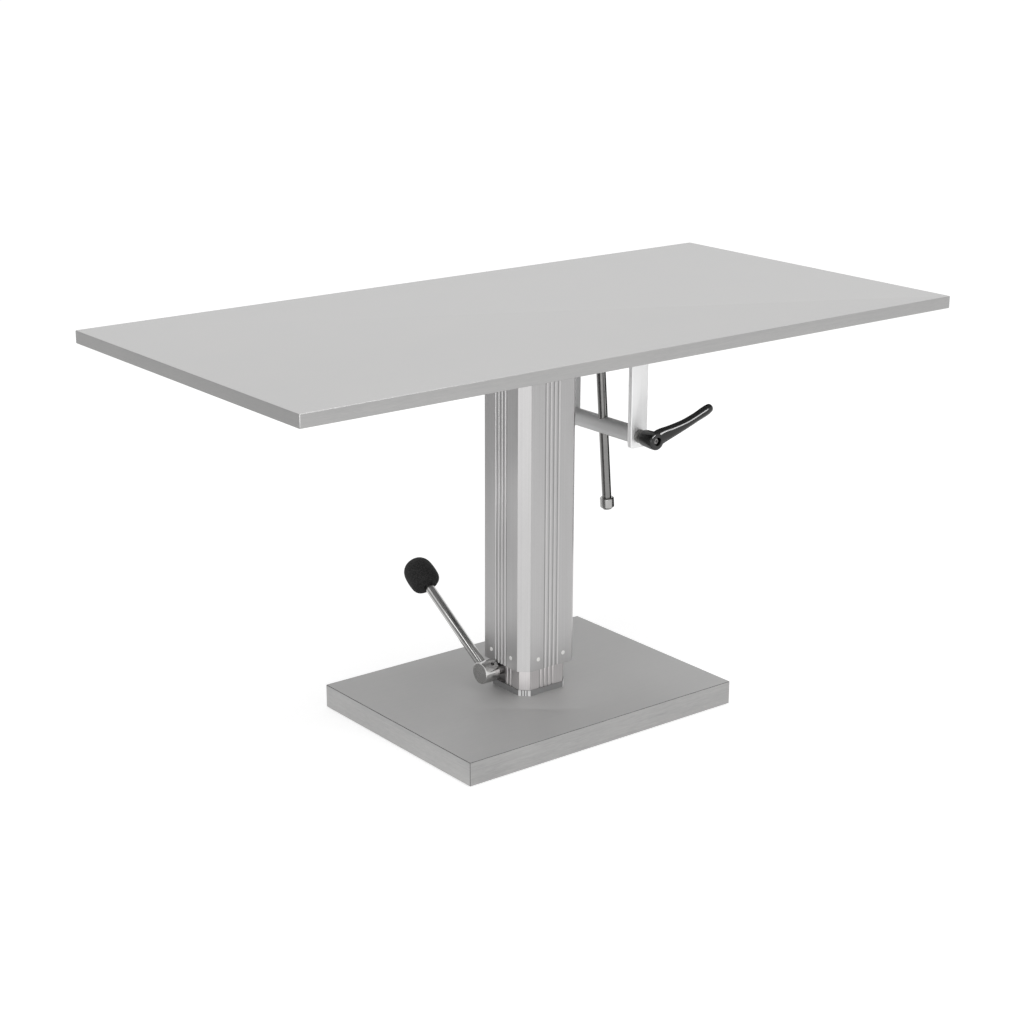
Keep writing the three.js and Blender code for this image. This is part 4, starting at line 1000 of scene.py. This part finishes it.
_, bar_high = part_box("cross_bar")
bar_centre = joint_vector("bar_swivel", "pos_m")
BAR_RADIUS = 0.015
BAR_ROUND = 0.001
JOURNAL_RADIUS = 0.009
RUNNING_GAP = 0.0003
near_leg_low, near_leg_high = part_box("clamp_leg_near")
bar_end = -near_leg_high.y - RUNNING_GAP
journal_end = bar_high.y
bar_profile = like_ends([
    (0, -journal_end), (JOURNAL_RADIUS, -journal_end), (JOURNAL_RADIUS, -bar_end), (BAR_RADIUS, -bar_end),
], 0)
swivel_bar = turned("swivel_bar", eased(bar_profile, BAR_ROUND), bar_centre, (0, 1, 0), 96)
bar_finish = linished_aluminium("bar_finish", 214, (60, 1500, 60), 0.55)
fit(swivel_bar, [bar_finish], "swivel", "clamp_aluminium", "cross_bar")


# Tilt rod: polished bar that runs up through the cross bar to a slotted eye under the top.
# A turned collar on its foot stops it from leaving the bar.

rod_way = joint_vector("rod_slide", "axis")
pin_low, pin_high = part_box("clevis_pin")
pin_centre = (pin_low + pin_high) / 2
ROD_RADIUS = 0.008
ROD_BELOW_BAR = 0.152
ROD_ROUND = 0.0012
pin_reach = (Vector((pin_centre.x, 0, pin_centre.z)) - bar_centre).length
EYE_BORE = 0.0057
EYE_WALL = 0.006
EYE_HALF = 0.007
EYE_NECK = 0.001
EYE_ROUND = 0.0008
EYE_STEPS = 16
PIN_PLAY = 0.0041
rod_end = pin_reach - EYE_BORE - EYE_NECK
tilt_profile = eased(bar(ROD_RADIUS, -ROD_BELOW_BAR, rod_end), ROD_ROUND)
tilt_bar = turned("tilt_bar", tilt_profile, bar_centre, rod_way)
rod_finish = polished_steel("tilt_rod_steel", 128, bar_centre, rod_way, 0.2)
fit(tilt_bar, [rod_finish], "rod", "polished_steel", "tilt_rod")

eye_across = Vector((0, 1, 0)).cross(rod_way)


def slot_loop(bm, radius, y):
    """A round-ended loop about the pin, square to it."""
    loop = []
    for play, start in ((PIN_PLAY, -math.pi / 2), (0, math.pi / 2)):
        middle = bar_centre + rod_way * pin_reach + eye_across * play + Vector((0, y, 0))
        for step in range(EYE_STEPS + 1):
            angle = start + math.pi * step / EYE_STEPS
            way = eye_across * math.cos(angle) + rod_way * math.sin(angle)
            loop.append(bm.verts.new(middle + radius * way))
    return loop


bm = bmesh.new()
eye_outer = EYE_BORE + EYE_WALL
eye_section = [(EYE_BORE, -EYE_HALF), (eye_outer, -EYE_HALF), (eye_outer, EYE_HALF), (EYE_BORE, EYE_HALF)]
eye_loops = [slot_loop(bm, radius, y) for radius, y in eye_section]
joined_rings(bm, [*eye_loops, eye_loops[0]])
softened(bm, EYE_ROUND, 2)
fit(finished("rod_eye", bm, 40), [rod_finish], "rod", "polished_steel")

COLLAR_RADIUS = 0.0122
COLLAR_LENGTH = 0.018
COLLAR_EDGE = 0.0016
COLLAR_ROUND = 0.0005
COLLAR_INSET = 0.003
collar_face = COLLAR_RADIUS - COLLAR_EDGE
collar_low = COLLAR_INSET - ROD_BELOW_BAR
collar_high = collar_low + COLLAR_LENGTH
collar_half = [
    (ROD_RADIUS, collar_low), (collar_face, collar_low), (COLLAR_RADIUS, collar_low + COLLAR_EDGE),
]
collar_profile = eased(like_ends(collar_half, collar_low + collar_high), COLLAR_ROUND)
turned_collar = turned("turned_collar", [*collar_profile, collar_profile[0]], bar_centre, rod_way, 72)
collar_steel = polished_steel("collar_steel", 168, bar_centre, rod_way, 0.25)
fit(turned_collar, [collar_steel], "rod", "polished_steel", "stop_collar")


# Clamp insert: the blackened steel screw that runs through the near leg and presses on the rod.
# A collar takes its thrust on the leg, and its core beyond the collar carries the handle.

insert_low, insert_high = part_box("clamp_insert")
INSERT_RADIUS = 0.0115
INSERT_COLLAR = 0.013
INSERT_ROUND = 0.0009
THREAD_RADIUS = 0.005
CORE_RADIUS = 0.008
leg_face = near_leg_low.y - RUNNING_GAP
insert_profile = [
    (0, insert_low.y), (CORE_RADIUS, insert_low.y), (CORE_RADIUS, leg_face - INSERT_COLLAR),
    (INSERT_RADIUS, leg_face - INSERT_COLLAR), (INSERT_RADIUS, leg_face), (THREAD_RADIUS, leg_face),
    (THREAD_RADIUS, insert_high.y), (0, insert_high.y),
]
insert_centre = (bar_centre.x, 0, bar_centre.z)
clamp_screw = turned("clamp_screw", eased(insert_profile, INSERT_ROUND), insert_centre, (0, 1, 0))
insert_steel = polished_steel("insert_steel", 104, insert_centre, (0, 1, 0), 0.33)
fit(clamp_screw, [insert_steel], "clamp", "dark_steel", "clamp_insert")


# Clamp handle: a lever moulded in black glass-filled nylon, lifted off its core to be set back.
# The hub runs out into a waisted arm with a soft ridge and a broad round end, and a cap screw
# in the hub's recess holds the handle on its core.

HANDLE_LENGTH = 0.033
HANDLE_RADIUS = 0.015
HANDLE_FACE = 0.012
HANDLE_FOOT = 0.0138
HANDLE_LIP = 0.002
HANDLE_BAND = 0.012
HANDLE_EDGE = 0.001
HANDLE_ROUND = 0.0016
RECESS_RADIUS = 0.0072
RECESS_DEPTH = 0.012
handle_foot = leg_face - INSERT_COLLAR - RUNNING_GAP
handle_end = handle_foot - HANDLE_LENGTH
hub_shape = eased([
    (0, handle_end), (HANDLE_FACE, handle_end), (HANDLE_RADIUS, handle_end + HANDLE_LIP),
    (HANDLE_RADIUS, handle_end + HANDLE_BAND), (HANDLE_FOOT, handle_foot - HANDLE_EDGE),
    (HANDLE_FOOT - HANDLE_EDGE, handle_foot), (0, handle_foot),
], HANDLE_ROUND)
moulded_handle = turned("moulded_handle", hub_shape, insert_centre, (0, 1, 0), 72, 35)

ARM_ANGLE = math.radians(23.5)
ARM_REACH = 0.117
ARM_SIDES = 48
ARM_RIDGE = 1.9
arm_along = Vector((math.cos(ARM_ANGLE), 0, math.sin(ARM_ANGLE)))
arm_across = Vector((-math.sin(ARM_ANGLE), 0, math.cos(ARM_ANGLE)))
arm_out = Vector((0, -1, 0))
arm_root = Vector((bar_centre.x, handle_end, bar_centre.z))
arm_stations = [
    (0.0, -0.085, 0.0145, 0.0100), (0.14, -0.065, 0.0136, 0.0100), (0.3, -0.005, 0.0110, 0.0092),
    (0.5, 0.055, 0.0087, 0.0084), (0.7, 0.088, 0.0081, 0.0078), (0.86, 0.105, 0.0087, 0.0082),
    (0.95, 0.11, 0.0077, 0.0072), (0.985, 0.1115, 0.0053, 0.0048), (0.999, 0.112, 0.0018, 0.0016),
]
bm = bmesh.new()
arm_rings = []
for reach, stand, half_width, half_depth in smooth_curve(arm_stations, 6):
    middle = arm_root + arm_along * reach * ARM_REACH + arm_out * stand * ARM_REACH
    ring = []
    for step in range(ARM_SIDES):
        angle = 2 * math.pi * step / ARM_SIDES
        wide, deep = math.cos(angle), math.sin(angle)
        ridged = (abs(wide) ** ARM_RIDGE + abs(deep) ** ARM_RIDGE) ** (-1 / ARM_RIDGE)
        place = middle + arm_across * half_width * wide * ridged + arm_out * half_depth * deep * ridged
        ring.append(bm.verts.new(place))
    arm_rings.append(ring)
joined_rings(bm, arm_rings)
bm.faces.new(arm_rings[0])
bm.faces.new(reversed(arm_rings[-1]))
cut(moulded_handle, finished("arm_shape", bm, 60), "UNION")
recess_floor = handle_end + RECESS_DEPTH
bored(moulded_handle, RECESS_RADIUS, handle_end - DRILL_PAST, recess_floor, insert_centre, (0, 1, 0), 48)
core_hole = CORE_RADIUS + RUNNING_GAP
core_end = insert_low.y - RUNNING_GAP
bored(moulded_handle, core_hole, core_end, handle_foot + DRILL_PAST, insert_centre, (0, 1, 0), 48)


def glossy_nylon():
    paint = Paint("glossy_nylon", Metallic=0.0, Specular_IOR_Level=0.5)
    spark = paint.noise(1700, 2)
    cloud = paint.noise(50, 3)
    paint.colour(cloud, grey(14), grey(22))
    paint.rough(spark * 0.5 + cloud * 0.5, 0.13, 0.2)
    return paint.relief(spark, 0.04, 0.0001)


fit(moulded_handle, [glossy_nylon()], "handle", "black_plastic", "clamp_handle")

screw_low, screw_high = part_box("handle_screw")
CAP_RADIUS = 0.0048
CAP_HEIGHT = 0.004
CAP_ROUND = 0.0005
SHANK_RADIUS = 0.0026
CAP_KEY = 0.0026
CAP_KEY_DEPTH = 0.0026
cap_profile = [
    (0, screw_low.y), (CAP_RADIUS, screw_low.y), (CAP_RADIUS, screw_low.y + CAP_HEIGHT),
    (SHANK_RADIUS, screw_low.y + CAP_HEIGHT), (SHANK_RADIUS, screw_high.y), (0, screw_high.y),
]
cap_screw = turned("cap_screw", eased(cap_profile, CAP_ROUND), insert_centre, (0, 1, 0), 48)
key_floor = screw_low.y + CAP_KEY_DEPTH
bored(cap_screw, CAP_KEY, screw_low.y - DRILL_PAST, key_floor, insert_centre, (0, 1, 0), 6)
fit(cap_screw, [plain_steel], "clamp", "dark_steel", "handle_screw")


# Studio: a pale floor that runs out of sight in a white room, and soft lamps, one of them for the
# handle alone. Upright cards that only reflections see lighten or darken what the metal mirrors.

FLOOR_SIZE = 40.0
FLOOR_GLOW = 0.7
FLOOR_GREY = 0.5
ROOM_LIGHT = 0.7


def seen_rays(tree):
    """One for rays that see a thing straight, in a mirror or through a clear piece."""
    path = tree.nodes.new("ShaderNodeLightPath").outputs
    mirrored = tree_maths(tree, "ADD", path["Is Glossy Ray"], path["Is Transmission Ray"])
    return tree_maths(tree, "ADD", path["Is Camera Ray"], mirrored)


def plain_surface(name):
    """A bare material, its tree and the socket that its surface goes to."""
    material = bpy.data.materials.new(name)
    material.use_nodes = True
    tree = material.node_tree
    tree.nodes.clear()
    return material, tree, tree.nodes.new("ShaderNodeOutputMaterial").inputs["Surface"]


def white_floor():
    material, tree, surface = plain_surface("white_floor")
    glow = tree_maths(tree, "MULTIPLY", seen_rays(tree), FLOOR_GLOW)
    emission = tree_node(tree, "ShaderNodeEmission", Strength=glow)
    paper = tree_node(tree, "ShaderNodeBsdfDiffuse", Color=(FLOOR_GREY, FLOOR_GREY, FLOOR_GREY, 1))
    total = tree.nodes.new("ShaderNodeAddShader")
    tree.links.new(emission, total.inputs[0])
    tree.links.new(paper, total.inputs[1])
    tree.links.new(total.outputs[0], surface)
    return material


bpy.ops.mesh.primitive_plane_add(size=FLOOR_SIZE)
floor = bpy.context.object
floor.name = "floor"
floor.data.materials.append(white_floor())
floor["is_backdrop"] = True

world = bpy.data.worlds.new("white_room")
world.use_nodes = True
bpy.context.scene.world = world
background = world.node_tree.nodes["Background"]
background.inputs["Color"].default_value = (1, 1, 1, 1)
seen = seen_rays(world.node_tree)
room_level = tree_node(world.node_tree, "ShaderNodeMapRange", Value=seen, To_Min=ROOM_LIGHT, To_Max=1.0)
world.node_tree.links.new(room_level, background.inputs["Strength"])

LAMP_TARGET = Vector((0, 0, 0.4))
for name, place, width, height, power in (
    ("key_lamp", (-0.1, -1.6, 2.9), 2.0, 0.8, 24),
    ("strip_lamp", (0.3, -3.4, 2.2), 2.4, 0.9, 130),
    ("top_lamp", (0.6, 0.6, 3.6), 2.6, 2.6, 8),
    ("front_lamp", (-2.5, -2.8, 0.5), 1.4, 1.0, 24),
):
    lamp = bpy.data.lights.new(name, "AREA")
    lamp.shape = "RECTANGLE"
    lamp.size = width
    lamp.size_y = height
    lamp.energy = power
    stand = linked(name, lamp)
    stand.location = place
    stand.rotation_euler = (LAMP_TARGET - Vector(place)).to_track_quat("-Z", "Y").to_euler()
strip_lit = bpy.data.collections.new("strip_lit")
strip_lit.objects.link(moulded_handle)
bpy.data.objects["strip_lamp"].light_linking.receiver_collection = strip_lit


def upright_card(name, start, end, heights, level):
    """A card from one floor point to another. It is clear from behind, and faces right of its run."""
    mesh = bpy.data.meshes.new(name)
    bottom, top = heights
    points = [(*start, bottom), (*end, bottom), (*end, top), (*start, top)]
    mesh.from_pydata(points, [], [(0, 1, 2, 3)])
    card = linked(name, mesh)
    finish, tree, surface = plain_surface(name)
    sided = tree.nodes.new("ShaderNodeMixShader")
    facing = tree.nodes.new("ShaderNodeNewGeometry")
    tree.links.new(facing.outputs["Backfacing"], sided.inputs["Fac"])
    tree.links.new(tree_node(tree, "ShaderNodeEmission", Color=(level, level, level, 1)), sided.inputs[1])
    tree.links.new(tree_node(tree, "ShaderNodeBsdfTransparent"), sided.inputs[2])
    tree.links.new(sided.outputs[0], surface)
    mesh.materials.append(finish)
    for ray in ("camera", "diffuse", "shadow", "transmission", "volume_scatter"):
        setattr(card, f"visible_{ray}", False)
    card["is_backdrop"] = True


upright_card("left_card", (-0.74, -0.5), (-0.74, 2.6), (0.0, 0.42), 0.48)
upright_card("rod_card", (0.3, 0.1), (0.3, -0.12), (0.2, 0.66), 0.03)
upright_card("column_card", (0.0, -0.146), (-0.142, -0.036), (0.043, 0.645), 1.3)
upright_card("lever_card", (-0.3, 0.0), (-0.3, 0.17), (0.29, 0.36), 2.8)
upright_card("lever_shade", (-0.3, 0.0), (-0.3, 0.17), (0.16, 0.29), 0.25)


# Camera: fitted to the corners of the top, in the place that the table was photographed from.
# Its lens is given by the focal length in pixels of a square picture.

IMAGE_SIDE = 1024
FOCAL_PIXELS = 2082.4
SENSOR_WIDTH = 36.0
CAMERA_PLACE = (-2.0738, -2.6046, 1.3915)
CAMERA_TURN = (72.621, -0.163, -37.974)
camera_data = bpy.data.cameras.new("camera")
camera_data.sensor_width = SENSOR_WIDTH
camera_data.sensor_fit = "HORIZONTAL"
camera_data.lens = SENSOR_WIDTH * FOCAL_PIXELS / IMAGE_SIDE
camera = linked("camera", camera_data)
camera.location = CAMERA_PLACE
camera.rotation_euler = [math.radians(angle) for angle in CAMERA_TURN]
bpy.context.scene.camera = camera
bpy.context.scene.view_settings.view_transform = "Standard"

low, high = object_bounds()
